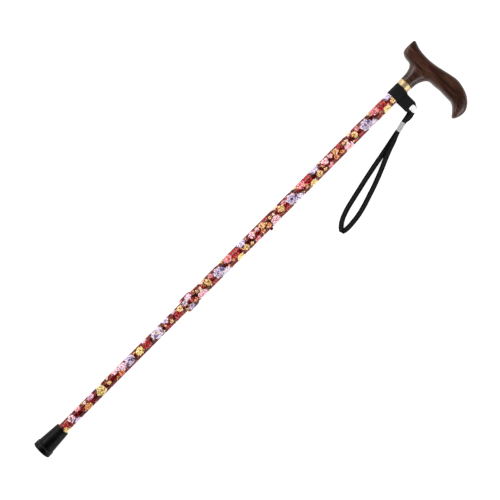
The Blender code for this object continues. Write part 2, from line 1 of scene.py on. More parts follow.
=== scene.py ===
"""The looks of a height-adjustable walking cane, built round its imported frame.

Sizes are in millimetres in the cane's own frame: x from the shaft towards the
grip end of the handle, y towards the ground, and z up the shaft from the sole.
place() turns such a point into the frame's metres.
"""
import math

import bmesh
import bpy
import numpy as np
from mathutils import Matrix, Vector


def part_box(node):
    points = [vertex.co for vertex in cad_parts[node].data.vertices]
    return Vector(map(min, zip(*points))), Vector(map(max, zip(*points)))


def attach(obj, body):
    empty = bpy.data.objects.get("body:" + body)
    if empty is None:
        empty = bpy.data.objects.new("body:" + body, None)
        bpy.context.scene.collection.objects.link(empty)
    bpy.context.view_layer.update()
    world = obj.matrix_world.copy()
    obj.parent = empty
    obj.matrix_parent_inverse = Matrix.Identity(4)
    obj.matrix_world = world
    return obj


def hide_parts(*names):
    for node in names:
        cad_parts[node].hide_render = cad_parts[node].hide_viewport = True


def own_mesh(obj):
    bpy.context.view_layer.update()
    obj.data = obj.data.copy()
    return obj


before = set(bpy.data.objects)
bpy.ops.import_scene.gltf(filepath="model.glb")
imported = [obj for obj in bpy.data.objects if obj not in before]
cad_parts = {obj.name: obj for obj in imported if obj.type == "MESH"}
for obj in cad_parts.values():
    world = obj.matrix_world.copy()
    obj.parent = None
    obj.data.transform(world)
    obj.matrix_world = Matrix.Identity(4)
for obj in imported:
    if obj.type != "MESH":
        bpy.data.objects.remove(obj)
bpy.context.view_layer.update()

MM = 0.001


def middle(node):
    low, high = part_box(node)
    return (Vector(low) + Vector(high)) / 2.0


SOLE_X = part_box("rubber_tip")[0][0]
AXIS_Y = middle("upper_tube").y
AXIS_Z = middle("upper_tube").z


def height_of(x):
    """How far up the shaft a frame x lies, in millimetres."""
    return (x - SOLE_X) / MM


def span(node):
    """How far up the shaft a CAD piece starts and ends."""
    low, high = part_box(node)
    return height_of(low[0]), height_of(high[0])


def place(x, y, z):
    """A point of the cane's own frame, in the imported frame's metres."""
    return Vector((SOLE_X + z * MM, AXIS_Y - x * MM, AXIS_Z - y * MM))


FOOT_TOP = span("rubber_tip")[1]
FOOT_RADIUS = AXIS_Z / MM
GROOVE_HEIGHT = 8.3           # of the groove round the foot's base ring, along which a highlight is painted
NUT_START, NUT_END = span("lock_nut")
NUT_RADIUS = 11.7
PRINT_END = 729.5             # where the upper print's pattern starts, under the band
LOWER_START, LOWER_END = span("lower_tube")
UPPER_START, UPPER_END = span("upper_tube")
LOWER_RADIUS = 8.0
LOWER_INNER = 6.8
UPPER_RADIUS = 9.5
UPPER_INNER = 8.6
BUTTON_HEIGHT = height_of(middle("snap_button").x)
BUTTON_TOP = (AXIS_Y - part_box("snap_button")[0][1]) / MM
BUTTON_FOOT = (AXIS_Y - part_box("snap_button")[1][1]) / MM
HOLE_RADIUS = 3.0
HOLE_PITCH = 25.0
HOLES_EACH_WAY = 3            # above and below the one that the button stands in
RING_START, RING_END = span("brass_ring")
RING_RADIUS = 10.4
BAND_START, BAND_END = span("strap_band")
TAB_END = (AXIS_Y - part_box("strap_band")[0][1]) / MM
TAB_TOP = 749.1
TAB_CHAMFER = (10.4, 5.6)     # how far the tab's corners are cut, along x and z
BAND_THICKNESS = 0.8
TAB_GAP = 5.0                 # between the tab's two layers
CREASE = 11.2                 # where the band turns into its flat tab, from the shaft's middle, and where shade is painted as a dark line
SNAP_X = (AXIS_Y - middle("snap_cap").y) / MM
SNAP_Z = height_of(middle("snap_cap").x)
HANDLE_START = span("handle")[0]
FINE = 128                    # corners round a turned piece

CORD_WIDTH = 7.6
CORD_THICKNESS = 2.2
CORD_FACE = 8.8               # half its girth, from edge to edge over a flat face
CORD_ORIGIN = (33.4, 733.8)   # where a and b below are 0, as x and z
CORD_ANGLE = 15.45            # of the legs to the shaft, in degrees
# The cord's two legs as (a, b, height), from the tab to the flat fold at the loop's end.
CORD_LEG_DOWN = (
    (-1.5, -3.2, 15.9), (2.0, -3.2, 15.9), (5.5, -3.1, 15.7), (9.0, -2.3, 14.95),
    (12.2, -1.0, 13.85), (15.0, 0.3, 12.92), (16.6, 0.43, 12.4), (24.5, 0.8, 9.79),
    (32.4, 1.17, 7.18), (34.0, 1.24, 6.65), (40.0, 0.6, 5.35), (46.0, -0.3, 4.6),
    (52.0, -0.9, 4.2), (60.0, -1.3, 3.9), (69.0, -2.2, 3.75), (78.0, -3.3, 3.5),
    (86.0, -4.6, 2.2), (96.0, -5.9, 1.35), (108.0, -7.2, 1.25), (122.0, -8.3, 1.25),
    (135.0, -8.9, 1.25), (152.0, -9.6, 1.25), (168.0, -9.1, 1.25), (180.0, -7.3, 1.25),
    (191.0, -5.1, 1.25), (197.0, -2.9, 1.25), (201.2, -0.9, 1.25),
)
CORD_LEG_BACK = (
    (201.2, 1.7, 3.55), (198.5, 3.3, 3.55), (195.5, 4.9, 3.0), (191.0, 6.9, 2.0), (185.0, 8.4, 1.4),
    (180.0, 9.2, 1.25), (168.0, 9.9, 1.25), (152.0, 9.4, 1.25), (135.0, 8.5, 1.25), (122.0, 7.9, 1.25),
    (108.0, 7.0, 1.25), (96.0, 6.2, 1.25), (86.0, 5.3, 1.25), (78.0, 4.5, 1.25),
    (69.0, 3.9, 1.25), (60.0, 3.0, 1.3), (52.0, 2.5, 1.45), (46.0, 2.1, 1.8),
    (40.0, 1.6, 2.65), (34.0, 1.24, 4.13), (32.4, 1.17, 4.65), (24.5, 0.8, 7.26),
    (16.6, 0.43, 9.87), (15.0, 0.36, 10.4), (12.2, 0.1, 11.35), (9.0, -0.2, 12.4),
    (5.5, -0.3, 13.2), (2.0, -0.3, 13.5), (-1.5, -0.3, 13.5),
)
FOLD_REACH = 3.5              # how far from the fold the cord's width starts to turn along it
CRIMP_TOP = (17.0, 0.45, 11.0)
CRIMP_BOTTOM = (32.0, 1.15, 6.05)
CRIMP_LENGTH = 15.5

# The handle's bar at each x: its underside, its top, and its half thickness.
BAR = (
    (-36.9, 793.5, 809.5, 9.5), (-36.2, 791.0, 812.1, 11.2), (-34.5, 788.5, 813.2, 12.2),
    (-30.0, 785.9, 811.7, 13.0), (-24.0, 784.6, 809.4, 13.4), (-16.0, 784.3, 807.8, 13.8),
    (-6.0, 784.1, 807.1, 14.1), (4.0, 784.2, 807.5, 14.4), (14.0, 784.7, 808.9, 14.6),
    (24.0, 785.7, 811.1, 14.7), (31.0, 785.8, 812.7, 14.7), (37.0, 786.4, 814.1, 14.7),
    (43.0, 787.0, 815.2, 14.7), (50.0, 786.7, 816.0, 14.7), (56.0, 786.5, 815.3, 14.6),
    (62.0, 786.5, 814.0, 14.4), (67.0, 785.8, 812.6, 14.1), (72.0, 782.6, 810.6, 13.7),
    (76.5, 778.0, 808.1, 13.1), (80.0, 773.5, 805.6, 12.4), (83.0, 770.4, 803.1, 11.5),
    (86.0, 771.9, 799.5, 10.2), (88.8, 777.6, 795.2, 8.0), (90.5, 783.5, 790.0, 4.5),
)
# The handle's neck at each z: its reach to the beak's side and to the grip's, and its half thickness.
NECK = (
    (750.5, 10.9, 11.1, 11.0), (759.5, 10.9, 11.1, 11.0), (766.5, 10.9, 11.4, 11.1),
    (771.5, 11.3, 12.4, 11.4), (775.0, 12.3, 13.9, 11.8), (778.0, 13.2, 15.4, 12.2),
    (781.0, 14.9, 17.2, 12.6), (784.0, 18.5, 20.3, 13.0), (786.5, 26.5, 25.5, 13.2),
    (791.5, 29.0, 28.5, 12.0),
)


# ---- node helpers

class Nodes:
    """Short calls that add shader nodes and link them in one line."""

    def __init__(self, tree):
        self.tree = tree

    def put(self, socket, value):
        if isinstance(value, bpy.types.NodeSocket):
            self.tree.links.new(value, socket)
        elif value is not None:
            socket.default_value = value

    def fill(self, sockets, values):
        for socket, value in zip(sockets, values):
            self.put(socket, value)

    def add(self, kind, settings=None, **inputs):
        node = self.tree.nodes.new(kind)
        for name, value in (settings or {}).items():
            setattr(node, name, value)
        return self.given(node, inputs)

    def given(self, node, inputs):
        for name, value in inputs.items():
            self.put(node.inputs[name.replace("_", " ")], value)
        return node

    def surface(self, **inputs):
        """Set inputs of the Principled node that every new material holds."""
        self.given(self.tree.nodes["Principled BSDF"], inputs)

    def math(self, operation, a, b=None, c=None):
        node = self.add("ShaderNodeMath", {"operation": operation})
        self.fill(node.inputs, (a, b, c))
        return node.outputs[0]

    def plus(self, a, b):
        return self.math("ADD", a, b)

    def minus(self, a, b):
        return self.math("SUBTRACT", a, b)

    def times(self, a, b):
        return self.math("MULTIPLY", a, b)

    def mix(self, share, a, b, blend="MIX"):
        node = self.add("ShaderNodeMix", {"data_type": "RGBA", "blend_type": blend})
        self.put(node.inputs[0], share)
        self.put(node.inputs[6], a)
        self.put(node.inputs[7], b)
        return node.outputs[2]

    def between(self, value, low, high, out_low=0.0, out_high=1.0, kind="SMOOTHSTEP"):
        node = self.add("ShaderNodeMapRange", {"interpolation_type": kind})
        self.fill(node.inputs, (value, low, high, out_low, out_high))
        return node.outputs[0]

    def ramp(self, value, stops, kind="LINEAR"):
        node = self.add("ShaderNodeValToRGB", Fac=value)
        node.color_ramp.interpolation = kind
        elements = node.color_ramp.elements
        while len(elements) < len(stops):
            elements.new(1.0)
        for element, (position, colour) in zip(elements, stops):
            element.position = position
            element.color = rgb(colour)
        return node.outputs["Color"]

    def noise(self, vector, scale, detail=4.0, roughness=0.55, distortion=0.0):
        node = self.add("ShaderNodeTexNoise", Vector=vector, Scale=scale, Detail=detail,
                        Roughness=roughness, Distortion=distortion)
        return node.outputs["Fac"]

    def cells(self, vector, scale, output="Distance"):
        return self.add("ShaderNodeTexVoronoi", Vector=vector, Scale=scale).outputs[output]

    def stretched(self, vector, scale):
        return self.add("ShaderNodeMapping", Vector=vector, Scale=scale).outputs[0]

    def bump(self, height, strength, distance):
        return self.add("ShaderNodeBump", Height=height, Strength=strength, Distance=distance).outputs[0]


def rgb(colour):
    """A linear colour with an alpha, from three screen numbers of 0 to 255."""
    return (*[(c / 255.0) ** 2.2 for c in colour[:3]], 1.0)


def material(name):
    """A new Principled material, its nodes and its object coordinates."""
    made = bpy.data.materials.new(name)
    made.use_nodes = True
    nodes = Nodes(made.node_tree)
    return made, nodes, nodes.add("ShaderNodeTexCoord").outputs["Object"]


# ---- mesh helpers

def new_piece(name, mesh, surface_material):
    piece = bpy.data.objects.new(name, mesh)
    bpy.context.scene.collection.objects.link(piece)
    if surface_material:
        mesh.materials.append(surface_material)
    return piece


def shade(piece, angle=40.0):
    piece.data.shade_smooth()
    piece.data.set_sharp_from_angle(angle=math.radians(angle))


def mesh_from(name, points, faces):
    mesh = bpy.data.meshes.new(name)
    mesh.from_pydata([tuple(p) for p in points], [], faces)
    mesh.validate()
    return mesh


def about_shaft(across, aside, along):
    return place(across, aside, along)


def about_button(across, aside, along):
    return place(along, aside, BUTTON_HEIGHT + across)


def lathe(name, profile, surface_material, closed=False, segments=FINE, angle=40.0, about=about_shaft):
    """Turn (radius, height) points, which run down the outer side, about an axis."""
    points, rows = [], []
    for radius, height in profile:
        if radius == 0.0:
            rows.append([len(points)])
            points.append(about(0.0, 0.0, height))
            continue
        rows.append(list(range(len(points), len(points) + segments)))
        for i in range(segments):
            turn = 2.0 * math.pi * i / segments
            points.append(about(radius * math.cos(turn), radius * math.sin(turn), height))
    faces = []
    for upper, lower in zip(rows, rows[1:] + rows[:1] if closed else rows[1:]):
        for i in range(segments):
            j = (i + 1) % segments
            corners = [upper[i % len(upper)], lower[i % len(lower)],
                       lower[j % len(lower)], upper[j % len(upper)]]
            faces.append(list(dict.fromkeys(corners)))
    piece = new_piece(name, mesh_from(name, points, faces), surface_material)
    outward(piece)
    shade(piece, angle)
    return piece


def mirrored(edge, top, bottom):
    """A profile from one edge's (radius, inset) points: down from the top, then at the bottom."""
    return ([(radius, top - inset) for radius, inset in edge]
            + [(radius, bottom + inset) for radius, inset in reversed(edge)])


def outward(piece):
    """Merge a piece's doubled points and turn its faces outward."""
    shape = bmesh.new()
    shape.from_mesh(piece.data)
    bmesh.ops.remove_doubles(shape, verts=shape.verts, dist=0.0000005)
    bmesh.ops.recalc_face_normals(shape, faces=shape.faces)
    shape.to_mesh(piece.data)
    shape.free()


def applied(piece):
    """Bake a piece's modifiers into its mesh."""
    bpy.context.view_layer.update()
    seen = piece.evaluated_get(bpy.context.evaluated_depsgraph_get())
    mesh = bpy.data.meshes.new_from_object(seen)
    piece.modifiers.clear()
    old = piece.data
    piece.data = mesh
    bpy.data.meshes.remove(old)


def drilled(piece, drills):
    """Cut rods out of a piece in one go, and remove the rods."""
    for drill in drills:
        cut = piece.modifiers.new("drill", "BOOLEAN")
        cut.operation = "DIFFERENCE"
        cut.solver = "EXACT"
        cut.object = drill
    applied(piece)
    for drill in drills:
        bpy.data.objects.remove(drill, do_unlink=True)
    shade(piece)


def made_piece(name, shape, surface_material):
    """A piece of a bmesh, which it frees."""
    mesh = bpy.data.meshes.new(name)
    shape.to_mesh(mesh)
    shape.free()
    return new_piece(name, mesh, surface_material)


def side_drill(height, depth):
    """A rod for a hole in the shaft's grip side, from near the axis out to a depth."""
    shape = bmesh.new()
    start, end = place(2.0, 0.0, height), place(depth, 0.0, height)
    axis = end - start
    turn = axis.to_track_quat("Z", "Y").to_matrix().to_4x4()
    spot = Matrix.Translation((start + end) / 2.0) @ turn
    bmesh.ops.create_cone(shape, cap_ends=True, segments=48, radius1=HOLE_RADIUS * MM,
                          radius2=HOLE_RADIUS * MM, depth=axis.length, matrix=spot)
    return made_piece("drill", shape, None)


def skin(name, rings, surface_material, capped=True, angle=40.0):
    """A surface over equal rings of points, closed at both ends if capped."""
    count = len(rings[0])
    points = [p for ring in rings for p in ring]
    faces = []
    for row in range(len(rings) - 1):
        for i in range(count):
            j = (i + 1) % count
            a, b = row * count, (row + 1) * count
            faces.append((a + i, a + j, b + j, b + i))
    if capped:
        faces.append(tuple(range(count)))
        faces.append(tuple(range(len(points) - count, len(points))))
    piece = new_piece(name, mesh_from(name, points, faces), surface_material)
    outward(piece)
    shade(piece, angle)
    return piece


def superellipse(count, power):
    """Points round a unit circle that squares up as the power rises from 2."""
    points = []
    for i in range(count):
        turn = 2.0 * math.pi * i / count
        points.append([math.copysign(abs(v) ** (2.0 / power), v) for v in (math.cos(turn), math.sin(turn))])
    return points


def chords(line):
    """At each point of a line, the step from the point before it to the one after."""
    last = len(line) - 1
    return [line[min(i + 1, last)] - line[max(i - 1, 0)] for i in range(last + 1)]


def spline(points, steps):
    """Vectors or array rows on a Catmull-Rom curve through the given ones, steps to each stretch."""
    fine = []
    for i in range(len(points) - 1):
        a, b = points[max(i - 1, 0)], points[i]
        c, d = points[i + 1], points[min(i + 2, len(points) - 1)]
        for j in range(steps):
            t = j / steps
            fine.append(0.5 * (2 * b + (c - a) * t + (2 * a - 5 * b + 4 * c - d) * t * t
                               + (3 * b - a - 3 * c + d) * t ** 3))
    fine.append(points[-1])
    return fine


def evenly(points, count):
    """Evenly spaced points along a line of points."""
    travelled = [0.0]
    for start, end in zip(points, points[1:]):
        travelled.append(travelled[-1] + (end - start).length)
    spaced, k = [], 0
    for i in range(count):
        want = travelled[-1] * i / (count - 1)
        while k < len(points) - 2 and travelled[k + 1] < want:
            k += 1
        share = (want - travelled[k]) / (travelled[k + 1] - travelled[k])
        spaced.append(points[k].lerp(points[k + 1], share))
    return spaced, travelled[-1]


# ---- the floral print

CRIMSON = (168, 26, 42)
MAROON = (80, 8, 16)
ROSE = (216, 84, 98)
BLUSH = (238, 192, 202)
PEARL = (222, 216, 228)
LAVENDER = (192, 184, 216)
VIOLET = (88, 72, 132)
GOLD = (226, 188, 112)
CREAM = (242, 224, 176)
LEMON = (218, 208, 124)
ORANGE = (228, 152, 92)
BROWN = (66, 32, 14)
MAGENTA = (142, 16, 66)
CORAL = (220, 104, 86)
PEACH = (255, 232, 224)
PRINT_CONTRAST, PRINT_DEPTH = 1.8, 1.36

# Blossoms as (across, along, radius, petals, turn, petal, tip, heart): across is round the
# shaft from the line that faces up, along runs down the shaft from the print's start.
UPPER_TILE = 152.0
UPPER_BLOSSOMS = (
    (10.6, 47.0, 10.5, 6, 0.2, PEARL, PEARL, LAVENDER),
    (-4.2, 21.0, 8.6, 7, 0.4, CRIMSON, ROSE, MAROON),
    (-5.6, 33.5, 7.6, 6, 0.9, ROSE, BLUSH, CRIMSON),
    (0.6, 56.5, 9.6, 6, 0.3, LAVENDER, PEARL, VIOLET),
    (0.2, 49.5, 3.4, 5, 0.0, VIOLET, LAVENDER, VIOLET),
    (-9.2, 3.5, 8.8, 6, 0.1, PEARL, LAVENDER, LAVENDER),
    (3.8, 1.5, 5.4, 5, 0.5, GOLD, CREAM, BROWN),
    (9.0, 16.5, 7.4, 5, 1.1, LEMON, CREAM, GOLD),
    (2.2, 27.5, 2.6, 5, 0.0, GOLD, ORANGE, BROWN),
    (-10.6, 42.5, 3.8, 4, 0.6, CREAM, GOLD, BROWN),
    (8.0, 69.5, 5.0, 6, 0.0, CRIMSON, ROSE, MAROON),
    (-5.4, 69.0, 4.4, 6, 0.5, ROSE, BLUSH, MAROON),
    (-0.8, 77.5, 5.8, 5, 0.2, CREAM, GOLD, BROWN),
    (7.6, 94.5, 9.4, 6, 0.7, PEARL, BLUSH, ROSE),
    (-11.6, 84.0, 6.4, 5, 0.0, CREAM, BLUSH, GOLD),
    (-2.4, 92.2, 3.0, 4, 0.4, PEARL, CREAM, BROWN),
    (-3.4, 98.4, 2.8, 4, 0.8, CREAM, GOLD, BROWN),
    (-7.6, 106.5, 4.6, 6, 0.2, CRIMSON, ROSE, MAROON),
    (4.2, 107.8, 4.4, 5, 0.3, GOLD, ORANGE, BROWN),
    (-3.6, 115.0, 5.4, 5, 0.9, ORANGE, CREAM, MAROON),
    (3.8, 119.4, 4.4, 5, 0.1, GOLD, ORANGE, BROWN),
    (-4.8, 124.4, 3.8, 5, 0.0, PEARL, BLUSH, ROSE),
    (7.8, 132.5, 5.6, 6, 0.5, ROSE, BLUSH, MAGENTA),
    (1.0, 135.5, 4.6, 5, 0.2, MAGENTA, CRIMSON, MAROON),
    (-4.8, 135.5, 6.2, 5, 0.4, PEARL, BLUSH, ROSE),
    (4.6, 143.0, 3.2, 4, 0.0, CREAM, GOLD, BROWN),
)
LOWER_TILE = 256.0
LOWER_BLOSSOMS = (
    (4.6, 12.5, 8.2, 7, 0.1, CRIMSON, ROSE, MAROON),
    (-3.0, 5.8, 5.6, 5, 0.4, GOLD, CREAM, BROWN),
    (-8.4, 16.0, 4.8, 5, 0.2, BLUSH, PEARL, ROSE),
    (1.9, 26.0, 3.4, 5, 0.0, GOLD, CREAM, BROWN),
    (6.0, 34.5, 5.8, 6, 0.6, CRIMSON, ROSE, MAROON),
    (-7.0, 33.5, 6.6, 6, 0.3, PEARL, LAVENDER, VIOLET),
    (9.2, 50.0, 6.4, 6, 0.2, LAVENDER, PEARL, VIOLET),
    (-1.6, 54.5, 11.4, 6, 0.0, PEARL, PEARL, LAVENDER),
    (-0.2, 47.2, 2.2, 4, 0.3, VIOLET, LAVENDER, VIOLET),
    (1.0, 59.4, 2.6, 4, 0.0, VIOLET, LAVENDER, VIOLET),
    (-1.4, 53.4, 2.0, 5, 0.0, LEMON, GOLD, BROWN),
    (-9.0, 76.0, 5.0, 6, 0.4, BLUSH, PEARL, ROSE),
    (0.8, 76.5, 7.6, 7, 0.2, CRIMSON, ROSE, MAROON),
    (-0.6, 91.0, 7.4, 5, 0.5, CREAM, LEMON, GOLD),
    (-2.2, 111.0, 9.6, 6, 0.1, LAVENDER, PEARL, VIOLET),
    (0.2, 107.0, 3.2, 4, 0.5, VIOLET, LAVENDER, VIOLET),
    (0.6, 116.5, 3.4, 4, 0.2, VIOLET, LAVENDER, VIOLET),
    (-2.6, 126.0, 8.0, 6, 0.6, PEARL, BLUSH, LAVENDER),
    (4.6, 131.5, 5.4, 6, 0.0, ROSE, GOLD, CRIMSON),
    (-6.8, 138.0, 6.6, 5, 0.3, PEARL, BLUSH, ROSE),
    (0.6, 155.0, 3.4, 5, 0.0, GOLD, CREAM, BROWN),
    (-6.4, 171.0, 6.0, 5, 0.5, CREAM, PEARL, LEMON),
    (1.0, 171.0, 8.8, 5, 0.0, LEMON, CREAM, BROWN),
    (-6.0, 189.0, 6.2, 6, 0.2, LAVENDER, BLUSH, MAGENTA),
    (5.0, 200.5, 6.8, 5, 0.4, ORANGE, GOLD, BROWN),
    (-5.2, 201.0, 3.6, 4, 0.0, CREAM, PEARL, BROWN),
    (-7.2, 215.0, 5.6, 6, 0.2, ROSE, BLUSH, CRIMSON),
    (8.4, 226.0, 7.0, 6, 0.3, PEARL, LAVENDER, LAVENDER),
    (-2.2, 231.0, 6.6, 5, 0.1, BLUSH, PEARL, MAROON),
    (-0.8, 243.0, 5.0, 6, 0.5, CRIMSON, ROSE, MAROON),
    (6.0, 248.5, 5.8, 5, 0.2, LEMON, CREAM, GOLD),
)
NUT_TILE = 40.0
NUT_BLOSSOMS = (
    (-11.0, 19.5, 3.2, 5, 0.3, BLUSH, ROSE, MAROON),
    (-3.2, 15.8, 4.8, 6, 0.1, LAVENDER, PEARL, VIOLET),
    (-7.2, 7.0, 6.4, 6, 0.4, PEARL, BLUSH, LAVENDER),
    (9.2, 12.4, 6.0, 6, 0.5, LAVENDER, LAVENDER, VIOLET),
    (7.4, 20.0, 2.8, 5, 0.0, CREAM, LEMON, BROWN),
    (5.2, 2.0, 2.6, 4, 0.2, ORANGE, BLUSH, MAROON),
    (0.8, 6.6, 1.9, 4, 0.0, ORANGE, ROSE, MAROON),
)


def blossom_group():
    """A node group that lays one flower of layered petals over the colour behind it.

    It hands the coordinates on with a trace of its colour in them, so that Cycles works
    the flowers out one after another: all at once they overflow its shader stack.
    """
    tree = bpy.data.node_groups.new("blossom", "ShaderNodeTree")
    inputs = ("Back", "Across", "Along", "At Across", "At Along", "Radius", "Petals", "Turn", "Girth",
              "Tile", "Petal", "Tip", "Heart")
    for name in inputs:
        kind = "Color" if name in ("Back", "Petal", "Tip", "Heart") else "Float"
        tree.interface.new_socket(name, in_out="INPUT", socket_type="NodeSocket" + kind)
    tree.interface.new_socket("Colour", in_out="OUTPUT", socket_type="NodeSocketColor")
    for name in ("Across", "Along"):
        tree.interface.new_socket(name, in_out="OUTPUT", socket_type="NodeSocketFloat")
    n = Nodes(tree)
    given = n.add("NodeGroupInput").outputs
    half_girth = n.times(given["Girth"], 0.5)
    half_tile = n.times(given["Tile"], 0.5)
    across = n.math("WRAP", n.minus(given["Across"], given["At Across"]),
                    half_girth, n.times(half_girth, -1.0))
    along = n.math("WRAP", n.minus(given["Along"], given["At Along"]),
                   half_tile, n.times(half_tile, -1.0))
    square = n.plus(n.times(across, across), n.times(along, along))
    far = n.math("DIVIDE", n.math("SQRT", square), given["Radius"])
    angle = n.plus(n.math("ARCTAN2", across, along), given["Turn"])
    lobe = n.times(n.times(angle, given["Petals"]), 0.5)
    outer = n.math("POWER", n.math("ABSOLUTE", n.math("COSINE", lobe)), 0.45)
    inner = n.math("POWER", n.math("ABSOLUTE", n.math("SINE", lobe)), 0.45)
    outer_edge = n.math("MULTIPLY_ADD", outer, 0.30, 0.70)
    inner_edge = n.math("MULTIPLY_ADD", inner, 0.18, 0.40)
    reach = n.math("DIVIDE", far, outer_edge)
    inside = n.math("DIVIDE", far, inner_edge)
    veins = n.math("SINE", n.times(lobe, 9.0))
    vein_share = n.times(n.between(veins, 0.4, 1.0), n.between(reach, 0.25, 0.7, 0.5, 0.0))
    petal = n.mix(n.between(reach, 0.45, 0.95), given["Petal"], given["Tip"])
    petal = n.mix(vein_share, petal, given["Heart"])
    rim = n.times(n.between(inside, 0.93, 1.0), n.between(inside, 1.16, 1.0))
    petal = n.mix(n.times(rim, 0.55), petal, given["Heart"])
    petal = n.mix(n.times(n.between(inside, 1.0, 0.92), 0.5), petal, given["Tip"])
    petal = n.mix(n.between(far, 0.24, 0.15), petal, given["Heart"])
    petal = n.mix(n.between(far, 0.09, 0.05), petal, rgb(GOLD))
    edged = n.mix(n.between(reach, 0.82, 1.0, 0.0, 0.85), petal, rgb(BROWN))
    result = n.mix(n.between(reach, 1.03, 0.94), given["Back"], edged)
    out = n.add("NodeGroupOutput")
    n.put(out.inputs["Colour"], result)
    trace = n.add("ShaderNodeSeparateColor", Color=result).outputs[0]
    for name in ("Across", "Along"):
        n.put(out.inputs[name], n.math("MULTIPLY_ADD", trace, 1e-7, given[name]))
    return tree


BLOSSOM = blossom_group()


LEAF_SCALE = 300.0            # leaves to a metre
LEAF_WARP = 0.004             # how far the leaves' edges are bent, in metres
PRINT_WARPS = ((150.0, 4.4), (520.0, 3.0))  # noise scale, and millimetres of bend in the flowers


def print_ground(n, coordinate):
    """Crimson leaves and buds with coral and gold lights, behind the flowers."""
    bent = n.add("ShaderNodeVectorMath", {"operation": "MULTIPLY_ADD"})
    noise = n.add("ShaderNodeTexNoise", Vector=coordinate, Scale=260.0, Detail=3.0).outputs["Color"]
    n.fill(bent.inputs, (noise, (LEAF_WARP, LEAF_WARP, LEAF_WARP), coordinate))
    spot = bent.outputs[0]
    cells = n.cells(spot, LEAF_SCALE, "Color")
    choice = n.add("ShaderNodeSeparateColor", Color=cells).outputs[0]
    leaves = n.ramp(choice, (
        (0.0, CRIMSON), (0.26, MAROON), (0.44, CRIMSON), (0.60, GOLD), (0.68, MAROON),
        (0.78, CORAL), (0.86, CRIMSON), (0.95, CREAM),
    ), "CONSTANT")
    far = n.cells(spot, LEAF_SCALE)
    leaves = n.mix(n.between(far, 0.25, 0.75, 0.0, 0.85), leaves, rgb(MAROON))
    light = n.noise(spot, 700.0, 3.0)
    leaves = n.mix(n.between(light, 0.54, 0.72, 0.0, 0.4), leaves, rgb(CORAL))
    cloud = n.noise(coordinate, 70.0, 2.0)
    return n.mix(n.between(cloud, 0.35, 0.62, 0.0, 0.4), leaves, rgb(CRIMSON))


def printed(name, radius, start, tile, blossoms):
    """Lacquered print on metal; start is the height up the shaft where the print begins."""
    made, n, spot = material(name)
    split = n.add("ShaderNodeSeparateXYZ", Vector=spot)
    side = n.minus(AXIS_Y, split.outputs["Y"])
    up = n.minus(split.outputs["Z"], AXIS_Z)
    turn = n.math("ARCTAN2", side, up)
    down = n.minus(SOLE_X + start * MM, split.outputs["X"])
    across = n.times(turn, radius)
    along = n.times(down, 1.0 / MM)
    for scale, reach in PRINT_WARPS:
        warp = n.add("ShaderNodeTexNoise", Vector=spot, Scale=scale, Detail=2.0).outputs["Color"]
        warp = n.add("ShaderNodeSeparateColor", Color=warp)
        across = n.plus(across, n.math("MULTIPLY_ADD", warp.outputs[0], reach, -reach / 2.0))
        along = n.plus(along, n.math("MULTIPLY_ADD", warp.outputs[1], reach, -reach / 2.0))
    colour = print_ground(n, spot)
    girth = math.pi * radius
    for at_across, at_along, size, petals, angle, petal, tip, heart in blossoms:
        node = n.add("ShaderNodeGroup", {"node_tree": BLOSSOM})
        values = (colour, across, along, at_across, at_along, size, petals, angle, girth, tile,
                  rgb(petal), rgb(tip), rgb(heart))
        n.fill(node.inputs, values)
        colour, across, along = node.outputs
    mottle = n.noise(spot, 560.0, 4.0, 0.62)
    colour = n.mix(n.between(mottle, 0.54, 0.60, 0.0, 0.82), colour, rgb(BROWN))
    tone = n.add("ShaderNodeRGBToBW", Color=colour).outputs[0]
    shine = n.times(n.between(mottle, 0.47, 0.39), n.between(tone, 0.05, 0.30, 0.12, 0.8))
    colour = n.mix(shine, colour, rgb(PEACH))
    colour = n.add("ShaderNodeGamma", Color=colour, Gamma=PRINT_CONTRAST).outputs[0]
    colour = n.mix(1.0, colour, (PRINT_DEPTH, PRINT_DEPTH, PRINT_DEPTH, 1.0), "MULTIPLY")
    rub = n.noise(n.stretched(spot, (40.0, 900.0, 900.0)), 1.0, 3.0)
    rough = n.between(rub, 0.35, 0.75, 0.28, 0.40)
    height = n.noise(spot, 900.0, 2.0)
    n.surface(Base_Color=colour, Roughness=rough, Specular_IOR_Level=0.14,
              Coat_Weight=0.1, Coat_Roughness=0.14, Normal=n.bump(height, 0.06, 0.0002))
    return made


# ---- other materials

def rosewood(name):
    """Dark lacquered rosewood, its grain along the handle."""
    made, n, spot = material(name)
    warped = n.stretched(spot, (95.0, 11.0, 95.0))
    figure = n.noise(warped, 1.0, 6.0, 0.62, 1.6)
    bands = n.noise(n.stretched(spot, (260.0, 16.0, 260.0)), 1.0, 4.0, 0.6, 0.8)
    colour = n.ramp(figure, (
        (0.26, (34, 19, 14)), (0.42, (56, 35, 27)), (0.55, (76, 50, 39)), (0.68, (94, 62, 48)),
        (0.82, (62, 38, 30)),
    ))
    colour = n.mix(n.between(bands, 0.48, 0.70, 0.0, 0.85), colour, rgb((22, 9, 7)))
    red = n.noise(n.stretched(spot, (40.0, 14.0, 40.0)), 1.0, 2.0)
    colour = n.mix(n.between(red, 0.46, 0.72, 0.0, 0.45), colour, rgb((86, 40, 34)))
    pores = n.noise(n.stretched(spot, (1500.0, 90.0, 1500.0)), 1.0, 2.0)
    pore = n.between(pores, 0.60, 0.70)
    colour = n.mix(n.times(pore, 0.65), colour, rgb((14, 6, 5)))
    height = n.minus(n.times(figure, 0.35), pore)
    n.surface(Base_Color=colour, Roughness=n.between(figure, 0.3, 0.7, 0.34, 0.46),
              Specular_IOR_Level=0.22, Coat_Weight=0.12, Coat_Roughness=0.2,
              Normal=n.bump(height, 0.22, 0.00015))
    return made


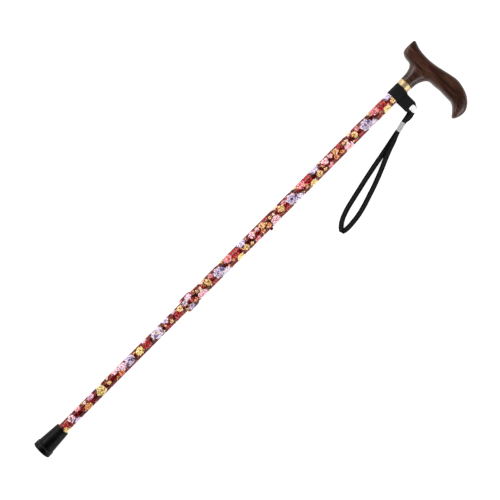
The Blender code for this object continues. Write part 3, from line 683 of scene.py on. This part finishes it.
def rubber(name):
    """Moulded black rubber with random grey dusting, and a highlight painted as a light line along its base
    ring's groove.
    """
    made, n, spot = material(name)
    grain = n.noise(spot, 2200.0, 3.0)
    cloud = n.noise(spot, 90.0, 3.0)
    dust_and_highlight = n.times(n.between(cloud, 0.45, 0.75), n.between(grain, 0.4, 0.7))
    up_shaft = n.add("ShaderNodeSeparateXYZ", Vector=spot).outputs["X"]
    # Painted highlight: a light grey line along the base ring's groove, added to the random grey specks.
    groove = n.math("ABSOLUTE", n.minus(up_shaft, SOLE_X + GROOVE_HEIGHT * MM))
    dust_and_highlight = n.math("MAXIMUM", dust_and_highlight, n.between(groove, 1.3 * MM, 0.6 * MM, 0.0, 2.6))
    colour = n.mix(n.times(dust_and_highlight, 0.25), rgb((7, 7, 7)), rgb((44, 43, 42)))
    n.surface(Base_Color=colour, Roughness=n.between(cloud, 0.3, 0.7, 0.40, 0.52),
              Specular_IOR_Level=0.1,
              Normal=n.bump(n.plus(grain, n.times(cloud, 0.4)), 0.25, 0.00012))
    return made


def metal(name, colour, roughness, scratch=0.3, stretch=(700.0, 700.0, 700.0), metallic=1.0):
    """Plated or polished metal with fine scratches and a little dulling."""
    made, n, spot = material(name)
    lines = n.noise(n.stretched(spot, stretch), 1.0, 3.0)
    cloud = n.noise(spot, 140.0, 3.0)
    tone = n.mix(n.between(cloud, 0.4, 0.75, 0.0, 0.3), rgb(colour), rgb([c * 0.72 for c in colour]))
    rough = n.math("MULTIPLY_ADD", n.between(lines, 0.35, 0.7), roughness * scratch, roughness)
    n.surface(Base_Color=tone, Metallic=metallic, Roughness=rough,
              Normal=n.bump(lines, 0.08, 0.00005))
    return made


def moulded(name, colour, roughness=0.5):
    """Moulded nylon."""
    made, n, spot = material(name)
    grain = n.noise(spot, 1800.0, 3.0)
    cloud = n.noise(spot, 120.0, 2.0)
    tone = n.mix(n.between(cloud, 0.35, 0.7, 0.0, 0.35), rgb(colour), rgb([c * 0.8 for c in colour]))
    rough = n.between(cloud, 0.3, 0.7, roughness, roughness + 0.12)
    n.surface(Base_Color=tone, Roughness=rough, Subsurface_Weight=0.05,
              Normal=n.bump(grain, 0.15, 0.0001))
    return made


def weave_height(n, along, across, pitch):
    """The height of twill threads at a pitch, from two coordinates in millimetres."""
    one = n.math("SINE", n.times(n.plus(along, across), 2.0 * math.pi / pitch))
    two = n.math("SINE", n.times(n.minus(along, across), 2.0 * math.pi / pitch))
    return n.math("MAXIMUM", one, n.times(two, 0.85))


def braid(name):
    """Black braided cord, woven along its own UV map, which is in millimetres, with shade painted dark along
    its edges.
    """
    made, n, spot = material(name)
    flat = n.add("ShaderNodeSeparateXYZ", Vector=spot.node.outputs["UV"])
    across, along = flat.outputs["X"], flat.outputs["Y"]
    threads = weave_height(n, along, across, 1.5)
    fibre = n.noise(spot, 5200.0, 2.0)
    lint = n.noise(spot, 800.0, 3.0)
    height = n.plus(threads, n.times(fibre, 0.6))
    colour = n.mix(n.between(threads, -0.2, 1.0), rgb((8, 8, 9)), rgb((46, 46, 48)))
    # Painted shade: the cord goes near black towards both edges of each flat face and stays lighter along the
    # middle.
    face = n.math("COSINE", n.math("MULTIPLY_ADD", across, 2.0 * math.pi / CORD_FACE, -math.pi))
    colour = n.mix(n.between(face, -0.3, 0.9, 0.8, 0.0), colour, rgb((3, 3, 3)))
    colour = n.mix(n.between(lint, 0.58, 0.78, 0.0, 0.25), colour, rgb((60, 60, 62)))
    n.surface(Base_Color=colour, Roughness=0.82, Specular_IOR_Level=0.06,
              Sheen_Weight=0.015, Normal=n.bump(height, 0.55, 0.00018))
    return made


def band_cloth(name):
    """Black woven webbing, ribbed across, in the frame's own axes, with shade painted along the crease where
    it turns into its tab.
    """
    made, n, spot = material(name)
    x, y, z = n.add("ShaderNodeSeparateXYZ", Vector=spot).outputs
    along = n.times(x, 1.0 / MM)
    aside, above = n.minus(y, AXIS_Y), n.minus(z, AXIS_Z)
    wrapped = n.times(n.math("ARCTAN2", aside, above), 10.0)
    out = n.times(n.minus(AXIS_Y, y), 1.0 / MM)
    tab = n.between(out, 13.0, 13.4)  # 0 round the shaft, 1 along the tab
    across = n.add("ShaderNodeMix", {"data_type": "FLOAT"})
    n.fill((across.inputs[0], across.inputs[2], across.inputs[3]), (tab, wrapped, out))
    threads = weave_height(n, along, across.outputs[0], 1.1)
    fibre = n.noise(spot, 4200.0, 2.0)
    lint = n.noise(spot, 500.0, 3.0)
    colour = n.mix(n.between(threads, -0.2, 1.0), rgb((6, 6, 7)), rgb((38, 38, 40)))
    colour = n.mix(n.between(lint, 0.56, 0.8, 0.0, 0.22), colour, rgb((62, 62, 65)))
    # Painted shade: a near-black line along the crease where the band turns into its tab.
    crease_shade_gap = n.math("ABSOLUTE", n.minus(out, CREASE))
    colour = n.mix(n.between(crease_shade_gap, 0.9, 0.3, 0.0, 0.85), colour, rgb((2, 2, 2)))
    height = n.plus(threads, n.times(fibre, 0.5))
    n.surface(Base_Color=colour, Roughness=0.78, Specular_IOR_Level=0.1,
              Sheen_Weight=0.02, Normal=n.bump(height, 0.4, 0.00014))
    return made


# ---- the pieces

def make_foot(surface):
    """The rubber foot: tapered sleeve, plain base ring, and tread."""
    r, bore = FOOT_RADIUS, LOWER_RADIUS + 0.1
    profile = [
        (0.0, 8.0), (bore, 8.0), (bore, FOOT_TOP - 0.5), (bore + 0.5, FOOT_TOP), (10.2, FOOT_TOP),
        (10.7, FOOT_TOP - 0.3), (10.9, FOOT_TOP - 0.9), (11.0, 41.7), (10.95, 41.1), (11.15, 40.5),
        (12.2, 27.0), (13.35, 12.4), (13.45, 11.7), (13.25, 11.1), (13.3, 10.6), (14.0, 10.3),
        (14.45, 9.9), (r - 0.05, 9.4), (r - 0.3, 9.0), (r - 0.35, 7.9), (r - 0.05, 7.5), (r, 7.2),
        (r, 1.5), (r - 0.1, 0.8), (r - 0.45, 0.25),
        (r - 1.0, 0.0), (10.6, 0.0), (10.4, 1.5), (9.4, 1.5), (9.2, 0.0),
        (7.4, 0.0), (7.2, 1.5), (6.2, 1.5), (6.0, 0.0), (0.0, 0.0),
    ]
    foot = lathe("foot_rubber", profile, surface)
    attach(foot, "lower")
    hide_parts("rubber_tip")


def tube_profile(outer, inner, start, end, ease=0.15):
    """A tube's wall, with its edges eased."""
    rim = ((inner, ease), (inner + ease, 0.0), (outer - ease, 0.0), (outer, ease))
    return mirrored(rim, end, start)


def make_tubes(upper_print, lower_print):
    """The two tubes, with the button's holes on the grip side."""
    profile = tube_profile(UPPER_RADIUS, UPPER_INNER, UPPER_START, UPPER_END)
    upper = lathe("upper_shaft", profile, upper_print, True)
    steps = range(-HOLES_EACH_WAY, HOLES_EACH_WAY + 1)
    drilled(upper, [side_drill(BUTTON_HEIGHT + step * HOLE_PITCH, 14.0) for step in steps])
    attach(upper, "upper")
    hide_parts("upper_tube")
    profile = tube_profile(LOWER_RADIUS, LOWER_INNER, LOWER_START, LOWER_END)
    lower = lathe("lower_shaft", profile, lower_print, True)
    drilled(lower, [side_drill(BUTTON_HEIGHT, 12.0)])
    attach(lower, "lower")
    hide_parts("lower_tube")


def make_nut(surface):
    """The barrel-shaped lock nut."""
    top, start, r = NUT_END, NUT_START, NUT_RADIUS
    profile = [
        (9.35, top - 0.2), (9.75, top), (10.05, top - 0.2), (10.5, top - 1.0), (11.0, top - 2.1),
        (11.35, top - 3.2), (11.6, top - 4.6), (r, top - 6.4), (r, start + 4.4), (11.6, start + 3.2),
        (11.35, start + 2.2), (10.9, start + 1.3), (10.3, start + 0.6), (9.7, start + 0.15),
        (9.2, start), (8.35, start + 0.1), (8.2, start + 0.4), (8.3, start + 1.0), (8.8, start + 1.4),
        (9.3, start + 2.7), (9.3, top - 0.5),
    ]
    nut = lathe("nut_shell", profile, surface, True)
    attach(nut, "nut")
    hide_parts("lock_nut")


def make_bush(surface):
    """The bush in the tube's mouth, with the thread that the nut runs on."""
    low, high = span("guide_bush")
    pitch, shoulder = 2.0, UPPER_START - 0.3
    profile = [(8.5, high), (8.5, shoulder), (9.2, shoulder)]
    ridge = shoulder - 0.4
    while ridge - pitch > low:
        profile += [(9.2, ridge), (9.2, ridge - 0.4), (8.75, ridge - 0.95), (8.75, ridge - 1.3)]
        ridge -= pitch
    profile += [(9.2, ridge), (9.2, low), (8.1, low), (8.1, high)]
    bush = lathe("bush_thread", profile, surface, True, angle=30.0)
    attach(bush, "upper")
    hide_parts("guide_bush")


def make_button(surface):
    """The snap button: a dome on a stem, with the flange that keeps it in the tube."""
    reach, foot, r = BUTTON_TOP, BUTTON_FOOT, 2.6
    profile = [(0.0, reach)]
    dome, rise = 12, 1.9
    for i in range(1, dome + 1):
        turn = math.radians(90.0) * i / dome
        profile.append((r * math.sin(turn), reach - rise * (1.0 - math.cos(turn))))
    profile += [(r, 5.5), (r + 0.2, 5.3), (3.6, 5.3), (3.8, 5.1), (3.8, foot + 0.2), (3.6, foot), (0.0, foot)]
    button = lathe("button_dome", profile, surface, segments=48, about=about_button)
    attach(button, "button")
    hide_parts("snap_button")


def make_spring(surface):
    """The V of spring strip behind the button."""
    half, thick = 2.1, 0.5
    leg, wall = 4.2 - thick / 2.0, -(LOWER_INNER - 0.5 - thick / 2.0) + 0.25
    bend, end = BUTTON_HEIGHT - 38.0, BUTTON_HEIGHT + 6.0
    turn = (leg + wall) / 2.0
    straight, kink = BUTTON_HEIGHT - 5.0, BUTTON_HEIGHT - 10.0
    line = [(leg, end), (leg, straight), (leg - 0.6, kink), (turn + 1.3, bend + 3.4),
            (turn + 0.9, bend + 1.4), (turn, bend + 0.6), (turn - 0.9, bend + 1.4),
            (turn - 1.3, bend + 3.4), (wall + 0.6, kink), (wall, straight), (wall, end)]
    middle_line = spline([Vector((x, z, 0.0)) for x, z in line], 6)
    rings = []
    for point, chord in zip(middle_line, chords(middle_line)):
        along = chord.normalized()
        normal = Vector((-along.y, along.x, 0.0)) * (thick / 2.0)
        ring = []
        for side, depth in ((1, -half), (1, half), (-1, half), (-1, -half)):
            spot = point + normal * side
            ring.append(place(spot.x, depth, spot.y))
        rings.append(ring)
    spring = skin("spring_strip", rings, surface)
    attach(spring, "lower")
    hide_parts("button_spring")
    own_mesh(spring)


def make_ring(surface):
    """The brass ring under the handle's neck, with a groove near each edge."""
    r = RING_RADIUS
    edge = ((9.6, 0.1), (9.7, 0.0), (r - 0.35, 0.0), (r - 0.1, 0.15), (r, 0.5),
            (r, 1.5), (r - 0.18, 1.7), (r - 0.18, 1.9), (r, 2.1))
    profile = mirrored(edge, RING_END, RING_START)
    ring = lathe("neck_ring", profile, surface, True)
    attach(ring, "upper")
    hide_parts("brass_ring")


def make_handle(surface):
    """The derby handle: bar and neck grown together, then smoothed."""
    section = superellipse(64, 2.7)
    rings = []
    for x, low, top, half in spline(np.array(BAR), 5):
        centre, tall = (low + top) / 2.0, (top - low) / 2.0
        rings.append([place(x, half * c, centre + tall * s) for c, s in section])
    bar = skin("handle_wood", rings, None)
    circle = superellipse(64, 2.0)
    rings = []
    for z, beak, grip, half in spline(np.array(NECK), 5):
        centre, wide = (grip - beak) / 2.0, (grip + beak) / 2.0
        rings.append([place(centre + wide * c, half * s, z) for c, s in circle])
    neck = skin("neck", rings, None)
    join = bar.modifiers.new("join", "BOOLEAN")
    join.operation = "UNION"
    join.solver = "EXACT"
    join.object = neck
    remesh = bar.modifiers.new("even", "REMESH")
    remesh.mode = "VOXEL"
    remesh.voxel_size = 0.0009
    relax = bar.modifiers.new("relax", "SMOOTH")
    relax.factor = 0.5
    relax.iterations = 22
    applied(bar)
    bpy.data.objects.remove(neck, do_unlink=True)
    shape = bmesh.new()
    shape.from_mesh(bar.data)
    everything = list(shape.verts) + list(shape.edges) + list(shape.faces)
    cut = bmesh.ops.bisect_plane(shape, geom=everything, plane_co=place(0.0, 0.0, HANDLE_START),
                                 plane_no=(1.0, 0.0, 0.0), clear_inner=True)
    rim = [e for e in cut["geom_cut"] if isinstance(e, bmesh.types.BMEdge)]
    bmesh.ops.contextual_create(shape, geom=rim)
    bmesh.ops.recalc_face_normals(shape, faces=shape.faces)
    shape.to_mesh(bar.data)
    shape.free()
    bar.data.materials.append(surface)
    shade(bar, 50.0)
    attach(bar, "upper")
    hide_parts("handle")


def band_middle():
    """The band's middle line: in along the tab, round the shaft, and out again."""
    wrap = UPPER_RADIUS + 0.15 + BAND_THICKNESS / 2.0
    layer = (TAB_GAP + BAND_THICKNESS) / 2.0
    turn_off, land_x = math.radians(52.0), 18.0
    leave = Vector((math.cos(turn_off), math.sin(turn_off))) * wrap
    lead = Vector((math.sin(turn_off), -math.cos(turn_off))) * 4.0
    land = Vector((land_x, layer))
    half = [Vector((TAB_END + (land_x - TAB_END) * i / 16.0, layer)) for i in range(16)]
    steps = 14
    for i in range(steps):
        t = 1.0 - i / steps
        a, b, c, d = leave, leave + lead, land - Vector((5.0, 0.0)), land
        half.append(a * (1 - t) ** 3 + b * 3 * t * (1 - t) ** 2 + c * 3 * t * t * (1 - t) + d * t ** 3)
    arc_steps = 36
    for i in range(arc_steps + 1):
        angle = turn_off + (math.pi - turn_off) * i / arc_steps
        half.append(Vector((math.cos(angle), math.sin(angle))) * wrap)
    return half + [Vector((p.x, -p.y)) for p in reversed(half[:-1])]


def tab_span(x):
    """The band's lowest and highest z at x, between the tab's two cut corners."""
    (cut_x, cut_z), ease = TAB_CHAMFER, 0.8
    past = max(x - (TAB_END - cut_x), 0.0)
    cut = min(max(math.sqrt(past * past + ease * ease) - ease, 0.0) * cut_z / (cut_x - 0.6), cut_z)
    step = min(max((x - 11.0) / 1.5, 0.0), 1.0)
    return BAND_START + cut, BAND_END + (TAB_TOP - BAND_END) * step - cut


def make_band(surface, thread):
    """The folded band with soft edges, and a row of stitches round the tab."""
    line = band_middle()
    rings = []
    half, edge = BAND_THICKNESS / 2.0, 0.35
    rim = ((-half, 1.2), (-half, edge), (-half * 0.6, 0.08), (0.0, 0.0), (half * 0.6, 0.08),
           (half, edge), (half, 1.2))
    for point, chord in zip(line, chords(line)):
        along = chord.normalized()
        normal = Vector((-along.y, along.x))
        low, high = tab_span(point.x)
        profile = mirrored(rim[::-1], high, low)
        rings.append([place(point.x + normal.x * d, point.y + normal.y * d, z) for d, z in profile])
    band = skin("band_strip", rings, surface, angle=60.0)
    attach(band, "band")
    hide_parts("strap_band")
    stitches = bmesh.new()
    reach = (TAB_GAP / 2.0 + BAND_THICKNESS) + 0.02
    pitch, thread_length, margin = 2.2, 1.5, 1.6
    for side in (-1.0, 1.0):
        for end in (-1.0, 1.0):
            x = 13.5
            while x < TAB_END - 12.0:
                low, high = tab_span(x)
                z = low + margin if end < 0 else high - margin
                stitch(stitches, Vector((x, side * reach, z)), Vector((thread_length, 0.0, 0.0)))
                x += pitch
        z = BAND_START + 2.4
        while z < BAND_END - 2.0:
            stitch(stitches, Vector((12.9, side * (reach + 0.15), z)), Vector((0.0, 0.0, thread_length)))
            z += pitch
    seam = made_piece("tab_stitches", stitches, thread)
    shade(seam)
    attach(seam, "band")


def stitch(shape, start, step):
    """A short thread lying on the cloth: a stretched ball."""
    centre = start + step / 2.0
    size = Vector((0.2, 0.13, 0.2)) + Vector((abs(step.x), abs(step.y), abs(step.z))) * 0.5
    world = place(*centre)
    scale = Matrix.Diagonal((size.z * MM, size.x * MM, size.y * MM, 1.0))
    bmesh.ops.create_uvsphere(shape, u_segments=10, v_segments=6, radius=1.0,
                              matrix=Matrix.Translation(world) @ scale)


def make_snap(surface):
    """The press stud's cap: a domed rounded square with a round dimple."""
    outer = TAB_GAP / 2.0 + BAND_THICKNESS + 0.1
    side = 4.95  # half the cap's width
    # Rings of the cap from its dimple out and down, as (share of its width, rise).
    rows = [(0.25, 1.9), (0.42, 1.95), (0.50, 2.0), (0.56, 2.0), (0.62, 1.93), (0.72, 1.88),
            (0.84, 1.72), (0.93, 1.4), (0.98, 0.9), (1.0, 0.4), (0.98, 0.1), (0.94, 0.0)]
    rings = []
    for scale, rise in rows:
        power = 2.0 + 3.2 * max(0.0, (scale - 0.5) / 0.5)
        rings.append([place(SNAP_X + side * scale * c, -outer - rise, SNAP_Z + side * scale * s)
                      for c, s in superellipse(64, power)])
    cap = skin("stud_cap", rings, surface, angle=60.0)
    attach(cap, "band")
    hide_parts("snap_cap")


def strap_place(a, b, height):
    """A point of the strap: a along its legs, b across them, and its height off the ground."""
    lean = math.radians(CORD_ANGLE)
    x = CORD_ORIGIN[0] + a * math.sin(lean) - b * math.cos(lean)
    z = CORD_ORIGIN[1] - a * math.cos(lean) - b * math.sin(lean)
    point = place(x, 0.0, z)
    return Vector((point.x, point.y, height * MM))


def cord_section():
    """The cord's cross section: flat, with soft edges and a thicker selvedge."""
    w, t = CORD_WIDTH / 2.0, CORD_THICKNESS / 2.0
    shares = ((1.0, 0.0), (0.97, 0.55), (0.90, 0.92), (0.80, 1.0), (0.70, 0.93), (0.50, 0.90),
              (0.25, 0.94), (0.0, 0.90))
    quarter = [(w * x, t * y) for x, y in shares]
    half = quarter + [(-x, y) for x, y in quarter[-2:0:-1]]
    return half + [(-x, -y) for x, y in half]


def cord_line():
    """The cord's centre line, with the direction of its width at each point.

    Down one leg, over a flat fold across the strap, and back up the other leg.
    """
    up = Vector((0.0, 0.0, 1.0))
    straight = (strap_place(1.0, 0.0, 0.0) - strap_place(0.0, 0.0, 0.0)).normalized()
    down, _ = evenly(spline([strap_place(*point) for point in CORD_LEG_DOWN], 24), 210)
    back, _ = evenly(spline([strap_place(*point) for point in CORD_LEG_BACK], 24), 210)
    fold = []
    low, high = down[-1], back[0]
    for i in range(1, 9):
        turn = math.pi * i / 9
        centre = low.lerp(high, (1.0 - math.cos(turn)) / 2.0)
        fold.append(centre + straight * math.sin(turn) * (high.z - low.z) / 2.0)
    line = down + fold + back
    across = []
    for i, (point, flat) in enumerate(zip(line, chords(line))):
        flat.z = 0.0
        flat = flat.normalized() * (1.0 if i < len(down) else -1.0)
        away = min((point - low).length, (point - high).length) / (FOLD_REACH * MM)
        if len(down) - 1 < i < len(down) + len(fold):
            away = 0.0
        share = min(away, 1.0)
        across.append(up.cross(straight.lerp(flat, share).normalized()))
    return line, across


def make_cord(surface):
    """The wrist cord, with a UV map in millimetres round and along it."""
    line, across_line = cord_line()
    length = sum((b - a).length for a, b in zip(line, line[1:]))
    section = cord_section()
    girth = [0.0]
    for start, end in zip(section, section[1:] + section[:1]):
        girth.append(girth[-1] + math.dist(start, end))
    points, faces, uvs = [], [], []
    for point, across, chord in zip(line, across_line, chords(line)):
        above = chord.normalized().cross(across).normalized()
        points += [point + (across * x + above * y) * MM for x, y in section]
    count = len(section)
    step = length / MM / (len(line) - 1)
    for i in range(len(line) - 1):
        for j in range(count):
            k = (j + 1) % count
            a, b = i * count, (i + 1) * count
            faces.append((a + j, a + k, b + k, b + j))
            here, there = i * step, (i + 1) * step
            uvs += [(girth[j], here), (girth[j + 1], here), (girth[j + 1], there), (girth[j], there)]
    for first in (0, len(points) - count):
        faces.append(tuple(range(first, first + count)))
        uvs += [(x + 3.4, y) for x, y in section]
    mesh = bpy.data.meshes.new("wrist_cord")
    mesh.from_pydata([tuple(p) for p in points], [], faces)
    layer = mesh.uv_layers.new(name="UVMap")
    for corner, uv in zip(layer.data, uvs):
        corner.uv = uv
    shape = bmesh.new()
    shape.from_mesh(mesh)
    bmesh.ops.recalc_face_normals(shape, faces=shape.faces)
    shape.to_mesh(mesh)
    shape.free()
    cord = new_piece("wrist_cord", mesh, surface)
    shade(cord, 60.0)
    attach(cord, "strap")
    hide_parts("strap_cord")


def make_crimp(surface):
    """The ribbed sleeve that holds the cord's two legs together."""
    top, bottom = strap_place(*CRIMP_TOP), strap_place(*CRIMP_BOTTOM)
    along = (bottom - top).normalized()
    across = Vector((0.0, 0.0, 1.0)).cross(along).normalized()
    above = along.cross(across)
    centre = (top + bottom) / 2.0
    wide, tall = (CORD_WIDTH + 0.6) / 2.0, (2 * 1.2 + CORD_THICKNESS + 0.6) / 2.0
    outline = superellipse(72, 4.5)
    outline[18:19] = [(0.17, 1.0), (0.0, 0.9), (-0.17, 1.0)]  # a seam down the middle

    def sleeve_ring(spot, wide, tall):
        return [spot + (across * wide * c + above * tall * s) * MM for c, s in outline]

    rings, ribs, steps = [], 9, 90
    for i in range(steps + 1):
        t = i / steps
        wave = 0.5 + 0.5 * math.cos(2.0 * math.pi * ribs * t)
        end = min(t, 1.0 - t) * steps
        wall = 0.12 + 0.36 * wave if end > 2 else 0.20 + 0.06 * end
        spot = centre + along * ((t - 0.5) * CRIMP_LENGTH * MM)
        rings.append(sleeve_ring(spot, wide + wall, tall + wall))
    for t in (1.0, 0.0):
        spot = centre + along * ((t - 0.5) * CRIMP_LENGTH * MM)
        rings.append(sleeve_ring(spot, wide, tall))
    rings.append(rings[0])
    crimp = skin("crimp_ribbed", rings, surface, capped=False)
    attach(crimp, "strap")
    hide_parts("crimp_sleeve")
    return crimp


def dress(names, surface):
    """Give CAD pieces that keep their shape a finer material."""
    for name in names:
        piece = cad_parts[name]
        piece.data.materials.clear()
        piece.data.materials.append(surface)
        shade(piece)


# ---- stage

def make_camera():
    """Looking straight down, turned so that the shaft rises at 45 degrees."""
    shaft_angle, frame_width = math.radians(45.165), 0.7335
    aim = place(9.7, 0.0, 424.7)
    lens = bpy.data.cameras.new("camera")
    lens.lens, lens.sensor_width = 100.0, 36.0
    distance = frame_width * lens.lens / lens.sensor_width
    camera = bpy.data.objects.new("camera", lens)
    camera.location = aim + Vector((0.0, 0.0, distance))
    camera.rotation_euler = (0.0, 0.0, -shaft_angle)
    bpy.context.scene.collection.objects.link(camera)
    bpy.context.scene.camera = camera


def area_light(name, spot, aim, size, power):
    data = bpy.data.lights.new(name, "AREA")
    data.shape = "RECTANGLE"
    data.size, data.size_y = size
    data.energy = power
    light = bpy.data.objects.new(name, data)
    light.location = spot
    light.rotation_euler = (Vector(aim) - Vector(spot)).to_track_quat("-Z", "Y").to_euler()
    bpy.context.scene.collection.objects.link(light)


FLOOR_HALF = 30.0             # half the floor's width, in metres
FLOOR_DROP = 0.0004           # how far the floor lies under the part, in metres
SKY_STRENGTHS = (0.15, 0.05)  # near the horizon, and overhead


def make_stage():
    """A white floor that glows a little, a dim sky and two soft boxes."""
    made, n, spot = material("floor_paper")
    grain = n.between(n.noise(spot, 60.0, 3.0), 0.3, 0.7)
    paper = n.mix(grain, rgb((176, 176, 176)), rgb((184, 184, 184)))
    n.surface(Base_Color=paper, Roughness=0.9, Emission_Color=rgb((255, 255, 255)),
              Emission_Strength=0.9)
    shape = bmesh.new()
    bmesh.ops.create_grid(shape, x_segments=8, y_segments=8, size=FLOOR_HALF)
    floor = made_piece("floor", shape, made)
    floor.location.z = -FLOOR_DROP
    world = bpy.data.worlds.new("studio")
    bpy.context.scene.world = world
    world.use_nodes = True
    sky = Nodes(world.node_tree)
    background = world.node_tree.nodes["Background"]
    direction = sky.add("ShaderNodeTexCoord").outputs["Generated"]
    height = sky.add("ShaderNodeSeparateXYZ", Vector=direction).outputs["Z"]
    sky.put(background.inputs["Strength"], sky.between(height, 0.80, 0.97, *SKY_STRENGTHS))
    background.inputs["Color"].default_value = (1.0, 1.0, 1.0, 1.0)
    area_light("softbox_left", (-0.1, 1.35, 0.88), (0.0, 0.0, 0.0), (1.9, 0.7), 33.0)
    area_light("softbox_right", (0.3, -1.45, 0.74), (0.0, 0.0, 0.0), (1.6, 0.45), 26.0)
    bpy.context.scene.view_settings.view_transform = "Standard"


def main():
    make_camera()
    crimp = make_crimp(metal("crimp_metal", (214, 214, 216), 0.34, metallic=0.5))
    make_cord(braid("cord_braid"))
    make_foot(rubber("foot_rubber"))
    make_tubes(printed("upper_print", UPPER_RADIUS, PRINT_END, UPPER_TILE, UPPER_BLOSSOMS),
               printed("lower_print", LOWER_RADIUS, NUT_START, LOWER_TILE, LOWER_BLOSSOMS))
    make_nut(printed("nut_print", NUT_RADIUS, NUT_END, NUT_TILE, NUT_BLOSSOMS))
    make_bush(moulded("bush_nylon", (34, 34, 36)))
    make_button(metal("button_metal", (104, 62, 58), 0.34))
    make_spring(metal("spring_steel", (176, 178, 184), 0.3))
    make_ring(metal("ring_brass", (200, 179, 136), 0.5, stretch=(2600.0, 60.0, 60.0)))
    make_handle(rosewood("handle_rosewood"))
    cloth = band_cloth("band_webbing")
    make_band(cloth, moulded("stitch_thread", (26, 26, 28), 0.7))
    nickel = metal("snap_nickel", (242, 242, 244), 0.16)
    make_snap(metal("snap_satin", (254, 254, 254), 0.3, metallic=0.05))
    dress(("snap_socket", "snap_stud", "snap_post"), nickel)
    steel = metal("zinc_steel", (186, 188, 194), 0.35)
    dress(("handle_stud", "plug_pin", "tip_washer"), steel)
    dress(("glide_cap", "split_ring"), moulded("natural_nylon", (214, 212, 200)))
    dress(("tube_top_plug",), rosewood("plug_wood"))
    make_stage()


main()
bpy.context.view_layer.update()
